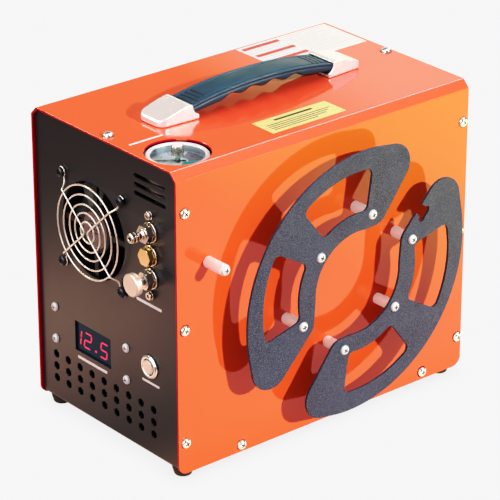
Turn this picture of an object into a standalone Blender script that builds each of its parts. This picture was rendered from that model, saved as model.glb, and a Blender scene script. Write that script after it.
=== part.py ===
"""Portable high-pressure air compressor in a folded sheet-metal case.

An orange U-shaped cover sits over a black tray whose ends form the control
panel and the rear panel.  The control panel carries the cooling fan, the
gas fittings, a temperature display and the start button.  A contact pressure
gauge with a set-point knob sits in the top, next to the strap handle, and two
kidney-shaped plates on standoffs form a winding reel for the supply lead.

Working frame: origin at the centre of the footprint of the whole object, on
the ground under the feet; +X along the case away from the control panel,
+Y from the reel side to the plain side, +Z up.  Dimensions are millimetres
(converted by MM); the case frame they are given in starts at the lower
corner where the control panel meets the reel side.
"""
import math

import bmesh
import bpy
from mathutils import Matrix, Vector

MM = 0.001

# -------------------------------------------------------- shared dimensions
CASE_L, CASE_W, CASE_H = 282.0, 171.0, 238.5   # outside of the cover
SHEET = 1.5                                    # cover and tray sheet
GAP = 0.3                                      # assembly clearance

PANEL_X = 2.5                                  # outer face of control panel
PANEL_BACK = PANEL_X + SHEET                   # inner face of control panel
REAR_X = CASE_L - PANEL_X                      # outer face of rear panel
TRAY_Z = 2.5                                   # underside of the tray floor
FLOOR_Z = TRAY_Z + SHEET + GAP                 # seat of the parts inside

FAN_Y, FAN_Z = 100.6, 160.4
FAN_HALF_PITCH = 71.5 / 2                      # fan centre to a screw, in Y and Z
FAN_SCREWS = [(FAN_Y + a * FAN_HALF_PITCH, FAN_Z + b * FAN_HALF_PITCH)
              for a, b in ((1, 1), (-1, 1), (1, -1), (-1, -1))]

PORT_Y = 32.0
PORT_Z = (183.4, 165.2, 147.0)                 # fill, blank, bleed
PORT_SCREW_Z = (196.6, 133.8)                  # upper, lower

DISPLAY_AT = (104.9, 66.2)                     # Y, Z
BUTTON_Y, BUTTON_Z, BUTTON_HOLE_R = 35.4, 75.0, 8.1
INLET_AT = (118.0, 42.0)                       # Y, Z

GAUGE_AT = (27.5, 32.0, 0)
TOP_CUT = (225.0, 250.0)                       # Z limits of the gauge hole tools

PLATE_T, PLATE_Y = 2.0, -20.0                  # outer face of the reel plates
FOOT_Z = -6.0
NOSE_X = -17.0                                 # foremost point, bleed knob
# footprint centre of the finished object in the case frame
ORIGIN = ((NOSE_X + CASE_L) / 2, (PLATE_Y + CASE_W) / 2, FOOT_Z)

# -------------------------------------------------------------------- scene
for old in list(bpy.data.objects):
    bpy.data.objects.remove(old, do_unlink=True)

PARTS = bpy.data.collections.new("air_compressor")
TOOLS = bpy.data.collections.new("cutters")
bpy.context.scene.collection.children.link(PARTS)
bpy.context.scene.collection.children.link(TOOLS)

ROOT = bpy.data.objects.new("case_frame", None)
PARTS.objects.link(ROOT)
ROOT.location = [-c * MM for c in ORIGIN]

PAINTS = {                                     # base colour, roughness, metallic
    "orange": ((0.82, 0.20, 0.06, 1), 0.30, 0.0),
    "black": ((0.035, 0.030, 0.028, 1), 0.45, 0.0),
    "slate": ((0.11, 0.115, 0.135, 1), 0.60, 0.0),
    "rubber": ((0.020, 0.020, 0.022, 1), 0.75, 0.0),
    "grip": ((0.055, 0.07, 0.10, 1), 0.55, 0.0),
    "silver": ((0.75, 0.76, 0.78, 1), 0.30, 1.0),
    "chrome": ((0.80, 0.80, 0.82, 1), 0.12, 1.0),
    "zinc": ((0.70, 0.70, 0.72, 1), 0.28, 1.0),
    "brass": ((0.75, 0.47, 0.16, 1), 0.25, 1.0),
    "white": ((0.80, 0.72, 0.70, 1), 0.55, 0.0),
    "dial": ((0.62, 0.72, 0.74, 1), 0.60, 0.0),
    "glass": ((0.85, 0.92, 0.92, 1), 0.05, 0.0),
    "smoke": ((0.03, 0.05, 0.06, 1), 0.08, 0.0),
    "steel": ((0.45, 0.45, 0.46, 1), 0.35, 1.0),
    "alloy": ((0.62, 0.63, 0.65, 1), 0.40, 1.0),
}


def material(name, paint):
    """A Principled material of the object's own."""
    color, roughness, metallic = PAINTS[paint]
    result = bpy.data.materials.new(name)
    result.use_nodes = True
    shader = result.node_tree.nodes["Principled BSDF"]
    shader.inputs["Base Color"].default_value = color
    shader.inputs["Roughness"].default_value = roughness
    shader.inputs["Metallic"].default_value = metallic
    result.diffuse_color = color
    return result


def place(name, mesh, paint=None, origin=(0, 0, 0), rot=(0, 0, 0)):
    """Put a mesh in the case frame; without a paint it is a hidden tool."""
    part = bpy.data.objects.new(name, mesh)
    part.parent = ROOT
    part.location = [c * MM for c in origin]
    part.rotation_euler = rot
    if paint:
        PARTS.objects.link(part)
        mesh.materials.append(material(name, paint))
    else:
        TOOLS.objects.link(part)
        part.hide_render = True
        part.display_type = 'WIRE'
    return part


# ------------------------------------------------------------ solid builders
def to_mesh(work, name):
    mesh = bpy.data.meshes.new(name)
    work.to_mesh(mesh)
    work.free()
    return mesh


def closed_mesh(work, name):
    """Mesh with its normals turned outwards."""
    bmesh.ops.recalc_face_normals(work, faces=work.faces)
    return to_mesh(work, name)


def box(name, x, y, z, paint=None):
    """Box from its (low, high) limits in the case frame."""
    work = bmesh.new()
    bmesh.ops.create_cube(work, size=1.0)
    size = [(high - low) * MM for low, high in (x, y, z)]
    middle = [(low + high) / 2 * MM for low, high in (x, y, z)]
    bmesh.ops.scale(work, vec=size, verts=work.verts)
    bmesh.ops.translate(work, vec=middle, verts=work.verts)
    return place(name, closed_mesh(work, name), paint)


def centred_box(name, x, centre, half_size, paint=None):
    """Box from its X limits and its (Y, Z) centre and half size."""
    y, z = [(c - half, c + half) for c, half in zip(centre, half_size)]
    return box(name, x, y, z, paint)


def curve_part(name, curve, paint, origin=(0, 0, 0), matrix=Matrix.Identity(4)):
    """Place the welded mesh of a curve, moved by matrix."""
    temporary = bpy.data.objects.new(name + "_curve", curve)
    TOOLS.objects.link(temporary)
    depsgraph = bpy.context.evaluated_depsgraph_get()
    mesh = bpy.data.meshes.new_from_object(temporary.evaluated_get(depsgraph))
    bpy.data.objects.remove(temporary, do_unlink=True)
    mesh.transform(matrix)
    work = bmesh.new()
    work.from_mesh(mesh)
    bpy.data.meshes.remove(mesh)
    bmesh.ops.remove_doubles(work, verts=work.verts, dist=1e-6)
    return place(name, closed_mesh(work, name), paint, origin)


# an outline is drawn in (Y, Z), (X, Z) or (X, Y) for the normals X, Y and Z
AXES = {
    'X': Matrix(((0, 0, 1, 0), (1, 0, 0, 0), (0, 1, 0, 0), (0, 0, 0, 1))),
    'Y': Matrix(((1, 0, 0, 0), (0, 0, -1, 0), (0, 1, 0, 0), (0, 0, 0, 1))),
    'Z': Matrix.Identity(4),
}


def outline(name, loops, axis, low, high, paint=None, origin=(0, 0, 0)):
    """Flat shape with holes: outlines in the plane normal to axis."""
    curve = bpy.data.curves.new(name, 'CURVE')
    curve.dimensions = '2D'
    curve.fill_mode = 'BOTH'
    curve.extrude = (high - low) / 2 * MM
    for loop in loops:
        spline = curve.splines.new('POLY')
        spline.points.add(len(loop) - 1)
        for point, (a, b) in zip(spline.points, loop):
            point.co = (a * MM, b * MM, 0, 1)
        spline.use_cyclic_u = True
    middle = [(low + high) / 2 if axis == letter else 0 for letter in 'XYZ']
    shift = Vector([(m - o) * MM for m, o in zip(middle, origin)])
    return curve_part(name, curve, paint, origin,
                      Matrix.Translation(shift) @ AXES[axis])


def tube(name, points, radius, paint=None):
    """Round wire along points, caps filled and welded."""
    curve = bpy.data.curves.new(name, 'CURVE')
    curve.dimensions = '3D'
    curve.bevel_depth = radius * MM
    curve.bevel_resolution = 1
    curve.use_fill_caps = True
    spline = curve.splines.new('POLY')
    spline.points.add(len(points) - 1)
    for point, position in zip(spline.points, points):
        point.co = [c * MM for c in position] + [1]
    return curve_part(name, curve, paint)


# rotations of turned pieces
TO_FRONT = (0, -math.pi / 2, 0)                # local +Z to -X
TO_REAR = (0, math.pi / 2, 0)                  # local +Z to +X
TO_REEL_SIDE = (math.pi / 2, 0, 0)             # local +Z to -Y
TO_PLAIN_SIDE = (-math.pi / 2, 0, 0)           # local +Z to +Y


def turned(name, profile, steps, paint=None, origin=(0, 0, 0), rot=(0, 0, 0),
           ring=False):
    """Turned piece: (radius, height) profile spun about local Z."""
    work = bmesh.new()
    verts = [work.verts.new((r * MM, 0, height * MM)) for r, height in profile]
    for pair in zip(verts, verts[1:] + (verts[:1] if ring else [])):
        work.edges.new(pair)
    part = place(name, to_mesh(work, name), paint, origin, rot)
    screw = part.modifiers.new("turn", 'SCREW')
    screw.axis = 'Z'
    screw.angle = 2 * math.pi
    screw.steps = screw.render_steps = steps
    screw.use_merge_vertices = True
    screw.merge_threshold = 1e-6
    screw.use_normal_calculate = False
    screw.use_smooth_shade = steps > 8
    return part


def rod(name, radius, low, high, steps, paint=None, origin=(0, 0, 0),
        rot=(0, 0, 0)):
    """Plain cylinder between two heights on local Z."""
    profile = ((0, high), (radius, high), (radius, low), (0, low))
    return turned(name, profile, steps, paint, origin, rot)


def boolean(part, tool, operation):
    modifier = part.modifiers.new(tool.name, 'BOOLEAN')
    modifier.operation = operation
    modifier.object = tool
    modifier.solver = 'EXACT'


def cut(part, tool):
    boolean(part, tool, 'DIFFERENCE')


def join(part, tool):
    boolean(part, tool, 'UNION')


def bevel(part, width, segments):
    modifier = part.modifiers.new("edge", 'BEVEL')
    modifier.width = width * MM
    modifier.segments = segments
    modifier.limit_method = 'ANGLE'
    modifier.angle_limit = math.radians(50)
    modifier.harden_normals = False


# ------------------------------------------------------------ flat outlines
def turn_point(x, y, angle):
    """Point turned about (0, 0), angle in radians."""
    cosine, sine = math.cos(angle), math.sin(angle)
    return x * cosine - y * sine, x * sine + y * cosine


def arc(x, y, radius, start, end, parts):
    """Points on an arc, angles in degrees, both ends included."""
    angles = [math.radians(start + (end - start) * i / parts)
              for i in range(parts + 1)]
    return [(x + radius * math.cos(a), y + radius * math.sin(a)) for a in angles]


def circle(x, y, radius, count):
    return arc(x, y, radius, 0, 360 - 360 / count, count - 1)


def rect(x, y, width, height):
    return [(x - width / 2, y - height / 2), (x + width / 2, y - height / 2),
            (x + width / 2, y + height / 2), (x - width / 2, y + height / 2)]


def round_square(x, y, size, radius):
    reach = size / 2 - radius
    corners = ((1, 1, 0), (-1, 1, 90), (-1, -1, 180), (1, -1, 270))
    return [point for a, b, start in corners
            for point in arc(x + a * reach, y + b * reach, radius,
                             start, start + 90, 3)]


def slot(x, y, length, width, parts):
    """Round-ended slot along the first axis."""
    radius = width / 2
    return (arc(x + length / 2 - radius, y, radius, -90, 90, parts)
            + arc(x - length / 2 + radius, y, radius, 90, 270, parts))


def hexagon(x, y, corner_radius, start=30):
    return [(x + corner_radius * math.cos(math.radians(start + 60 * i)),
             y + corner_radius * math.sin(math.radians(start + 60 * i)))
            for i in range(6)]


# -------------------------------------------------------------- sheet metal
FOLD = 6.2                                     # chamfer along the top folds
CORNER_R = 8.0                                 # lower corners of the cover
FLANGE = 12.0                                  # tray flange width
PANEL_CUT = (-8.0, 8.2)                        # X limits of the panel tools
REAR_CUT = (272.0, 290.0)
FAN_OPENING_R, FAN_SCREW_HOLE_R = 37.6, 2.3
TOP_SLOT_Z = (221.7, 214.9, 208.1)             # slots above the gas fittings
VENT_R, VENT_Y, VENT_PITCH = 3.5, 32.3, 14.93  # hexagonal vents
VENT_ROWS = (20.4, 30.5, 40.6)
REAR_SLOT_Z, REAR_SLOT_PITCH = 124, 14
GAUGE_RELIEF_R, GAUGE_HOLE_R = 23.45, 25.2     # in the tray, in the cover


def case_prism(name, inset, x_low, x_high, z_low, paint=None):
    """Case section, moved in by inset from the cover's outside, run along X."""
    low, high, top = inset, CASE_W - inset, CASE_H - inset
    fold = FOLD - inset * (2 - math.sqrt(2))
    section = [(low, z_low), (high, z_low), (high, top - fold),
               (high - fold, top), (low + fold, top), (low, top - fold)]
    return outline(name, [section], 'X', x_low, x_high, paint)


def panel_openings():
    """Outlines of all the holes in the control panel."""
    loops = [circle(FAN_Y, FAN_Z, FAN_OPENING_R, 40)]
    loops += [circle(y, z, FAN_SCREW_HOLE_R, 10) for y, z in FAN_SCREWS]
    loops += [slot(32.8, z, 36.2, 3.3, 3) for z in TOP_SLOT_Z]
    loops += [circle(PORT_Y, z, 5.3, 16) for z in PORT_Z]
    loops += [circle(PORT_Y, z, 1.9, 10) for z in PORT_SCREW_Z]
    loops += [rect(*DISPLAY_AT, 43.6, 24.2),
              circle(BUTTON_Y, BUTTON_Z, BUTTON_HOLE_R, 24)]
    loops += [hexagon(VENT_Y + i * VENT_PITCH, z, VENT_R)
              for i in range(9) for z in VENT_ROWS]
    return loops


def make_tray():
    """Floor with both end panels, open at the sides and the top."""
    inset = SHEET + GAP
    tray = case_prism("base_tray", inset, PANEL_X, REAR_X, TRAY_Z, "black")
    cut(tray, case_prism("tray_inside", inset + SHEET, PANEL_X + SHEET,
                         REAR_X - SHEET, TRAY_Z + SHEET))
    cut(tray, box("tray_open", (PANEL_X + FLANGE, REAR_X - FLANGE),
                  (-20, CASE_W + 20), (TRAY_Z + FLANGE, CASE_H + 40)))
    cut(tray, outline("panel_openings", panel_openings(), 'X', *PANEL_CUT))
    rear = [rect(*INLET_AT, 28.0, 21.0)]
    rear += [slot(CASE_W / 2, REAR_SLOT_Z + REAR_SLOT_PITCH * i, 96, 4.0, 2)
             for i in range(5)]
    cut(tray, outline("rear_openings", rear, 'X', *REAR_CUT))
    cut(tray, rod("gauge_relief", GAUGE_RELIEF_R, *TOP_CUT, 40, origin=GAUGE_AT))


def make_cover():
    """Open folded surface given its thickness inwards."""
    section = [(0, 0), (0, CASE_H - FOLD), (FOLD, CASE_H),
               (CASE_W - FOLD, CASE_H), (CASE_W, CASE_H - FOLD), (CASE_W, 0)]
    work = bmesh.new()
    front, rear = [[work.verts.new((x * MM, y * MM, z * MM)) for y, z in section]
                   for x in (0, CASE_L)]
    for i in range(len(section) - 1):
        work.faces.new((front[i], rear[i], rear[i + 1], front[i + 1]))
    low_corners = [row[i] for row in (front, rear) for i in (0, -1)]
    bmesh.ops.bevel(work, geom=low_corners, offset=CORNER_R * MM, segments=6,
                    profile=0.5, affect='VERTICES')
    cover = place("top_cover", to_mesh(work, "top_cover"), "orange")
    sheet = cover.modifiers.new("sheet", 'SOLIDIFY')
    sheet.thickness = SHEET * MM
    sheet.offset = -1.0
    sheet.use_even_offset = True
    cut(cover, rod("gauge_hole", GAUGE_HOLE_R, *TOP_CUT, 56, origin=GAUGE_AT))


# -------------------------------------------------------------- rubber feet
FOOT_X, FOOT_Y = 12.5, 11.0                    # inset from the case sides
FOOT_GROUND_R, FOOT_TOP_R, FOOT_RIM = 6.4, 8.2, 1.5


def make_feet():
    top = TRAY_Z - GAP
    profile = ((0, top), (FOOT_TOP_R, top), (FOOT_TOP_R, top - FOOT_RIM),
               (FOOT_GROUND_R, FOOT_Z), (0, FOOT_Z))
    for end, x in (("front", FOOT_X), ("rear", CASE_L - FOOT_X)):
        for side, y in (("left", CASE_W - FOOT_Y), ("right", FOOT_Y)):
            turned("foot_%s_%s" % (end, side), profile, 16, "rubber",
                   origin=(x, y, 0))


# ------------------------------------------------------------------- handle
MID_X, HANDLE_Y = CASE_L / 2, CASE_W / 2
GRIP_W, CAP_W, POCKET_W = 27.0, 31.0, 28.0
GRIP_END, GRIP_MID = 9.6, 16.2                 # top of grip above the case
ARCH_X = 71.5                                  # where the arch starts
GRIP_T, SCALLOP = 7.0, 2.8                     # thickness, depth of a scallop
FINGER = 20.5                                  # length of a scallop
GRIP_X0 = 60.0                                 # tip of a tongue
BODY_X0 = 71.0                                 # body of the grip starts here
GRIP_STATIONS = 44
CAP_X = 78.5                                   # end of a cap towards mid-handle
CAP_L = 35.0
CAP_TAPER = 0.14                               # width lost over the cap length
# X for the front cap, height above its seat
CAP_PROFILE = ((43.5, 0), (CAP_X, 0), (CAP_X, 4.6), (75.2, 6.2), (73.4, 9.0),
               (72.6, 11.0), (68, 11.0), (57, 8.8), (47.5, 5.6), (44.6, 4.2),
               (43.5, 2.6))
POCKET_PROFILE = ((58.5, 2.2), (95, 2.2), (95, 10.3), (70, 10.1), (58.5, 7.6))


def grip_top(x):
    """Arched upper line of the grip."""
    t = min(1.0, abs(x - MID_X) / (MID_X - ARCH_X))
    return CASE_H + GRIP_END + (GRIP_MID - GRIP_END) * (1 - t ** 2.2)


def grip_under(x):
    """Underside with four finger scallops between five ridges."""
    off_centre = abs(x - MID_X)
    thickness = GRIP_T - 1.2 * min(1.0, max(0.0, off_centre - 2 * FINGER) / 30)
    if off_centre < 2 * FINGER:
        thickness -= SCALLOP * (math.sin(math.pi * off_centre / FINGER)) ** 2
    return grip_top(x) - thickness


def tongue_top(x):
    """Thin tongue at each end that slides into a cap."""
    return CASE_H + 6.2 + 0.24 * (min(x, CASE_L - x) - GRIP_X0)


def make_grip():
    tip, tip_under = CASE_L - GRIP_X0, CASE_H + 3.0
    body_end = CASE_L - BODY_X0
    stations = [BODY_X0 + (body_end - BODY_X0) * i / GRIP_STATIONS
                for i in range(GRIP_STATIONS + 1)]
    points = [(GRIP_X0, tip_under)] + [(x, grip_under(x)) for x in stations]
    points += [(tip, tip_under), (tip, tongue_top(tip)),
               (body_end, tongue_top(body_end))]
    points += [(x, grip_top(x)) for x in stations[::-1]]
    points += [(x, tongue_top(x)) for x in (BODY_X0, GRIP_X0)]
    outline("handle_grip", [points], 'Y', HANDLE_Y - GRIP_W / 2,
            HANDLE_Y + GRIP_W / 2, "grip")


def make_handle_cap(tag):
    def end_x(x):
        return x if tag == "front" else CASE_L - x

    def strip(name, profile, width, paint=None):
        points = [(end_x(x), CASE_H + GAP + z) for x, z in profile]
        return outline(name, [points], 'Y', HANDLE_Y - width / 2,
                       HANDLE_Y + width / 2, paint)

    cap = strip("handle_cap_" + tag, CAP_PROFILE, CAP_W, "silver")
    for vertex in cap.data.vertices:           # narrower towards the outer end
        t = abs(vertex.co.x / MM - end_x(CAP_X)) / CAP_L
        middle = HANDLE_Y * MM
        vertex.co.y = middle + (vertex.co.y - middle) * (1 - CAP_TAPER * t)
    bevel(cap, 1.3, 2)
    cut(cap, strip("pocket_" + tag, POCKET_PROFILE, POCKET_W))


# ---------------------------------------------------------------------- fan
FAN_SIZE, FAN_DEPTH, FAN_BORE = 80.0, 25.0, 38.2   # FAN_BORE is a radius
FAN_X = PANEL_BACK + GAP                       # front face of the fan frame
ARM_HALF_L, ARM_HALF_W = 39, 2.2
BLADES = 7
BLADE_SIZE = (20.6, 22.0, 1.3)                 # radial, along the chord, thick
BLADE_MID_R, BLADE_MID_X, BLADE_PITCH = 25.8, 13.4, 38   # pitch in degrees
GUARD_RINGS = (36.3, 29.0, 21.6, 15.1, 8.1)    # radii
GUARD_WIRE = 0.9                               # wire radius
GUARD_X = -2.9                                 # plane of the guard rings
# (radius, height out of the panel)
FAN_SCREW = ((0, 5.0), (2.6, 4.7), (3.9, 3.4), (3.9, 2.4), (1.9, 2.4),
             (1.9, -12.0), (0, -12.0))


def make_fan_frame():
    loops = [round_square(FAN_Y, FAN_Z, FAN_SIZE, 4.0),
             circle(FAN_Y, FAN_Z, FAN_BORE, 40)]
    loops += [circle(y, z, 2.25, 10) for y, z in FAN_SCREWS]
    frame = outline("fan_frame", loops, 'X', FAN_X, FAN_X + FAN_DEPTH, "black")
    join(frame, rod("fan_boss", 17.5, FAN_X, FAN_X + 3.2, 32,
                    origin=(0, FAN_Y, FAN_Z), rot=TO_REAR))
    for i, half_size in enumerate(((ARM_HALF_L, ARM_HALF_W),
                                   (ARM_HALF_W, ARM_HALF_L))):
        join(frame, centred_box("fan_arm_%d" % i, (FAN_X + 0.4, FAN_X + 2.8),
                                (FAN_Y, FAN_Z), half_size))


def make_impeller():
    """Hub with pitched blades."""
    axis = (0, FAN_Y, FAN_Z)
    impeller = rod("fan_impeller", 16.5, FAN_X + 3.8, FAN_X + 23.0, 28, "black",
                   origin=axis, rot=TO_REAR)
    work = bmesh.new()
    for i in range(BLADES):
        cube = bmesh.ops.create_cube(work, size=1.0)
        middle = (BLADE_MID_R * MM, 0, (FAN_X + BLADE_MID_X) * MM)
        matrix = (Matrix.Rotation(2 * math.pi * i / BLADES, 4, 'Z')
                  @ Matrix.Translation(middle)
                  @ Matrix.Rotation(math.radians(BLADE_PITCH), 4, 'X')
                  @ Matrix.Diagonal([c * MM for c in BLADE_SIZE] + [1]))
        bmesh.ops.transform(work, matrix=matrix, verts=cube['verts'])
    join(impeller, place("fan_blades", closed_mesh(work, "fan_blades"),
                         origin=axis, rot=TO_REAR))


def guard_wire(name, side, paint=None):
    """V of wire across the rings, hooked round two screws."""
    screw_y = FAN_Y + side * FAN_HALF_PITCH
    apex = FAN_Y + side * 2.3
    front, back = GUARD_X - 1.6, PANEL_X - 1.25
    rise = FAN_HALF_PITCH
    # upper half: X, Y, height above the fan centre
    half = [(back, screw_y + side * a, rise + b)
            for a, b in arc(0, 0, 3.4, 60, 225, 7)]
    half += [(back, screw_y - side * 3.2, rise - 5.2),
             (back - 1.8, screw_y - side * 4.8, rise - 7.4),
             (front, screw_y - side * 7.6, rise - 10.4),
             (front, apex + side * 3.0, 4.0), (front, apex, 1.4)]
    points = [(x, y, FAN_Z + z) for x, y, z in half]
    points += [(x, y, FAN_Z - z) for x, y, z in half[::-1]]
    return tube(name, points, GUARD_WIRE, paint)


def guard_rings():
    """Concentric rings of four-sided wire, as one tool."""
    work = bmesh.new()
    for ring_r in GUARD_RINGS:
        count = max(14, int(ring_r * 0.8))
        sections = []
        for i in range(count):
            around = 2 * math.pi * i / count
            section = []
            for j in range(4):
                turn = 2 * math.pi * j / 4
                x = GUARD_X + GUARD_WIRE * math.sin(turn)
                radius = ring_r + GUARD_WIRE * math.cos(turn)
                section.append(work.verts.new(
                    (x * MM, (FAN_Y + radius * math.cos(around)) * MM,
                     (FAN_Z + radius * math.sin(around)) * MM)))
            sections.append(section)
        for i in range(count):
            here, there = sections[i], sections[(i + 1) % count]
            for j in range(4):
                k = (j + 1) % 4
                work.faces.new((here[j], there[j], there[k], here[k]))
    return place("guard_rings", closed_mesh(work, "guard_rings"))


def make_fan():
    make_fan_frame()
    make_impeller()
    guard = guard_wire("fan_guard", 1, "chrome")
    join(guard, guard_rings())
    join(guard, guard_wire("guard_wire_right", -1))
    for i, (y, z) in enumerate(FAN_SCREWS):
        turned("fan_screw_%d" % (i + 1), FAN_SCREW, 12, "rubber",
               origin=(PANEL_X, y, z), rot=TO_FRONT)


# -------------------------------------------------------------------- gauge
NEEDLE_REST = math.radians(142.0)
SET_REST = math.radians(172.0)
# (radius, Z)
GAUGE_CASE = ((0, 212.3), (21.6, 212.3), (21.6, 234.9), (22.8, 234.9),
              (22.8, 210.3), (6, 210.3), (6, 201.3), (0, 201.3))
GAUGE_BEZEL = ((19.8, 235.3), (19.8, 236.0), (20.6, 236.7), (22.5, 236.7),
               (23.15, 236.1), (23.15, 235.3))
GAUGE_DIAL = ((2.0, 229.9), (2.0, 230.7), (21.2, 230.7), (21.2, 229.9))
GAUGE_LENS = ((2.2, 233.9), (2.2, 235.0), (21.2, 235.0), (21.2, 233.9))
SET_KNOB = ((0, 243.4), (4.2, 243.4), (4.65, 242.9), (4.65, 235.5),
            (1.8, 235.5), (1.8, 232.7), (0, 232.7))
# (along, across) from the gauge axis
NEEDLE_BLADE = ((-6, -0.9), (17.5, -0.35), (17.5, 0.35), (-6, 0.9))
SET_POINTER = ((0, -1.0), (12.5, -0.5), (12.5, 0.5), (0, 1.0))


def pointer(name, shape, angle, low, high):
    """Flat pointer turned to its angle about the gauge axis."""
    turned_shape = [turn_point(a, b, angle) for a, b in shape]
    points = [(GAUGE_AT[0] + x, GAUGE_AT[1] + y) for x, y in turned_shape]
    return outline(name, [points], 'Z', low, high)


def make_gauge():
    turned("gauge_case", GAUGE_CASE, 24, "steel", origin=GAUGE_AT)
    for name, profile, steps, paint in (
            ("gauge_bezel", GAUGE_BEZEL, 32, "chrome"),
            ("gauge_dial", GAUGE_DIAL, 24, "dial"),
            ("gauge_lens", GAUGE_LENS, 24, "glass")):
        turned(name, profile, steps, paint, origin=GAUGE_AT, ring=True)
    needle = rod("gauge_needle", 2.4, 231.2, 232.3, 16, "rubber",
                 origin=GAUGE_AT)
    join(needle, pointer("needle_blade", NEEDLE_BLADE, NEEDLE_REST, 231.4, 232.0))
    knob = turned("gauge_set_knob", SET_KNOB, 18, "silver", origin=GAUGE_AT)
    join(knob, pointer("set_pointer", SET_POINTER, SET_REST, 232.9, 233.4))


# ---------------------------------------------------------- display, button
# (radius, height out of the panel)
BUTTON_BODY = ((0, -5.2), (6.4, -5.2), (6.4, 2.0), (7.0, 2.3), (8.5, 2.0),
               (9.2, 1.2), (9.2, 0.3), (7.8, 0.3), (7.8, -21), (0, -21))
BUTTON_CAP = ((0, 2.7), (5.6, 2.7), (6.05, 2.3), (6.05, -2.2), (0, -2.2))


def make_display():
    module = centred_box("display_module", (PANEL_BACK + 1.6, PANEL_BACK + 19),
                         DISPLAY_AT, (24, 14.3), "black")
    cut(module, centred_box("display_recess", (PANEL_BACK, PANEL_BACK + 4.4),
                            DISPLAY_AT, (21.5, 11.8)))
    centred_box("display_lens", (PANEL_BACK + 0.3, PANEL_BACK + 1.3),
                DISPLAY_AT, (23.5, 13.8), "smoke")


def make_button():
    seat = (PANEL_X, BUTTON_Y, BUTTON_Z)
    turned("button_body", BUTTON_BODY, 20, "chrome", origin=seat, rot=TO_FRONT)
    turned("button_cap", BUTTON_CAP, 18, "silver", origin=seat, rot=TO_FRONT)
    outline("button_nut", [hexagon(BUTTON_Y, BUTTON_Z, 10.8),
                           circle(BUTTON_Y, BUTTON_Z, BUTTON_HOLE_R, 16)],
            'X', PANEL_BACK + GAP, PANEL_BACK + GAP + 3.0, "zinc")


# ------------------------------------------------------------- gas fittings
FILL_AT, BLANK_AT, BLEED_AT = [(PANEL_X, PORT_Y, z) for z in PORT_Z]
STEM_R, STEM_END = 4.9, -8.5                   # part screwed into the manifold
HEX_R = 7.1                                    # corner radius of the hexes
HEX_BASE = 2.0                                 # height out of the panel
KNOB_TOP = PANEL_X - NOSE_X
# (radius, height out of the panel)
WASHER = ((5.2, 0.3), (5.2, 1.7), (7.6, 1.7), (8.0, 1.3), (8.0, 0.3))
NIPPLE = ((0, 11.0), (1.5, 11.0), (1.5, 19.2), (3.2, 19.2), (3.9, 18.4),
          (3.9, 13.4), (2.7, 12.2), (2.7, 9.6), (4.2, 8.6), (4.2, 4.0),
          (STEM_R, 4.0), (STEM_R, STEM_END), (0, STEM_END))
BLEED_KNOB = ((0, KNOB_TOP), (8.1, KNOB_TOP), (8.65, KNOB_TOP - 0.6),
              (8.65, KNOB_TOP - 4.6), (8.1, KNOB_TOP - 5.2),
              (2.9, KNOB_TOP - 5.2), (2.9, KNOB_TOP - 2.4), (0, KNOB_TOP - 2.4))
SOCKET_SCREW = ((0, 2.2), (1.4, 2.2), (1.4, 3.6), (2.6, 3.6), (3.0, 3.2),
                (3.0, 0.3), (1.5, 0.3), (1.5, -8.0), (0, -8.0))


def make_manifold():
    """Block behind the panel, its screws and the port washers."""
    block = box("manifold_block", (PANEL_BACK + GAP, PANEL_BACK + 17),
                (PORT_Y - 9.2, PORT_Y + 9.2), (129, 201.4), "alloy")
    holes = [circle(PORT_Y, z, 5.1, 16) for z in PORT_Z]
    holes += [circle(PORT_Y, z, 1.8, 10) for z in PORT_SCREW_Z]
    cut(block, outline("manifold_ports", holes, 'X', 0, PANEL_BACK + 11))
    for tag, seat in (("fill", FILL_AT), ("blank", BLANK_AT), ("bleed", BLEED_AT)):
        turned("washer_" + tag, WASHER, 20, "zinc", origin=seat, rot=TO_FRONT,
               ring=True)
    for tag, z in zip(("upper", "lower"), PORT_SCREW_Z):
        turned("manifold_screw_" + tag, SOCKET_SCREW, 12, "zinc",
               origin=(PANEL_X, PORT_Y, z), rot=TO_FRONT)


def hex_head(name, seat, top):
    return outline(name, [hexagon(PORT_Y, seat[2], HEX_R, 0)], 'X',
                   PANEL_X - top, PANEL_X - HEX_BASE)


def make_fittings():
    nipple = turned("fill_nipple", NIPPLE, 16, "chrome", origin=FILL_AT,
                    rot=TO_FRONT)
    join(nipple, hex_head("nipple_hex", FILL_AT, 7.6))
    plug = rod("blanking_plug", STEM_R, STEM_END, 6.2, 20, "brass",
               origin=BLANK_AT, rot=TO_FRONT)
    join(plug, hex_head("plug_hex", BLANK_AT, 6.9))
    valve = rod("bleed_valve_body", STEM_R, STEM_END, 7.2, 20, "chrome",
                origin=BLEED_AT, rot=TO_FRONT)
    join(valve, hex_head("valve_hex", BLEED_AT, 7.8))
    cut(valve, rod("valve_bore", 2.9, -7.0, 12.0, 16, origin=BLEED_AT,
                   rot=TO_FRONT))
    rod("bleed_spindle", 2.5, -4.5, 16.6, 16, "steel", origin=BLEED_AT,
        rot=TO_FRONT)
    turned("bleed_knob", BLEED_KNOB, 22, "silver", origin=BLEED_AT, rot=TO_FRONT)


# --------------------------------------------------------------- cable reel
REEL_X, REEL_Z = 154.7, 116.4                  # winding axis of the reel
# arcs round one plate: centre X, Z, radius, start, end in degrees, parts
WING_ARCS = (
    (161.8, 107.2, 113.3, 84, 191, 24),        # outer rim
    (70.5, 73.0, 17.2, 193, 312, 9),
    (100.0, 97.0, 12.0, -49, -4, 4),
    (REEL_X, REEL_Z, 41.5, 184, 82, 14),       # inner edge round the axis
    (170.0, 171.0, 13.0, -84, -42, 4),
    (188.0, 201.0, 16.5, -38, 82, 9),
)
POST_R, POST_EDGE = 4.35, 0.4
LONE_POST, LONE_POST_TOP = (28.0, 164.3), 19.9
LEAD_SLOT_AT, LEAD_SLOT_TURN = (219.8, 153.3), math.radians(50)


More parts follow.
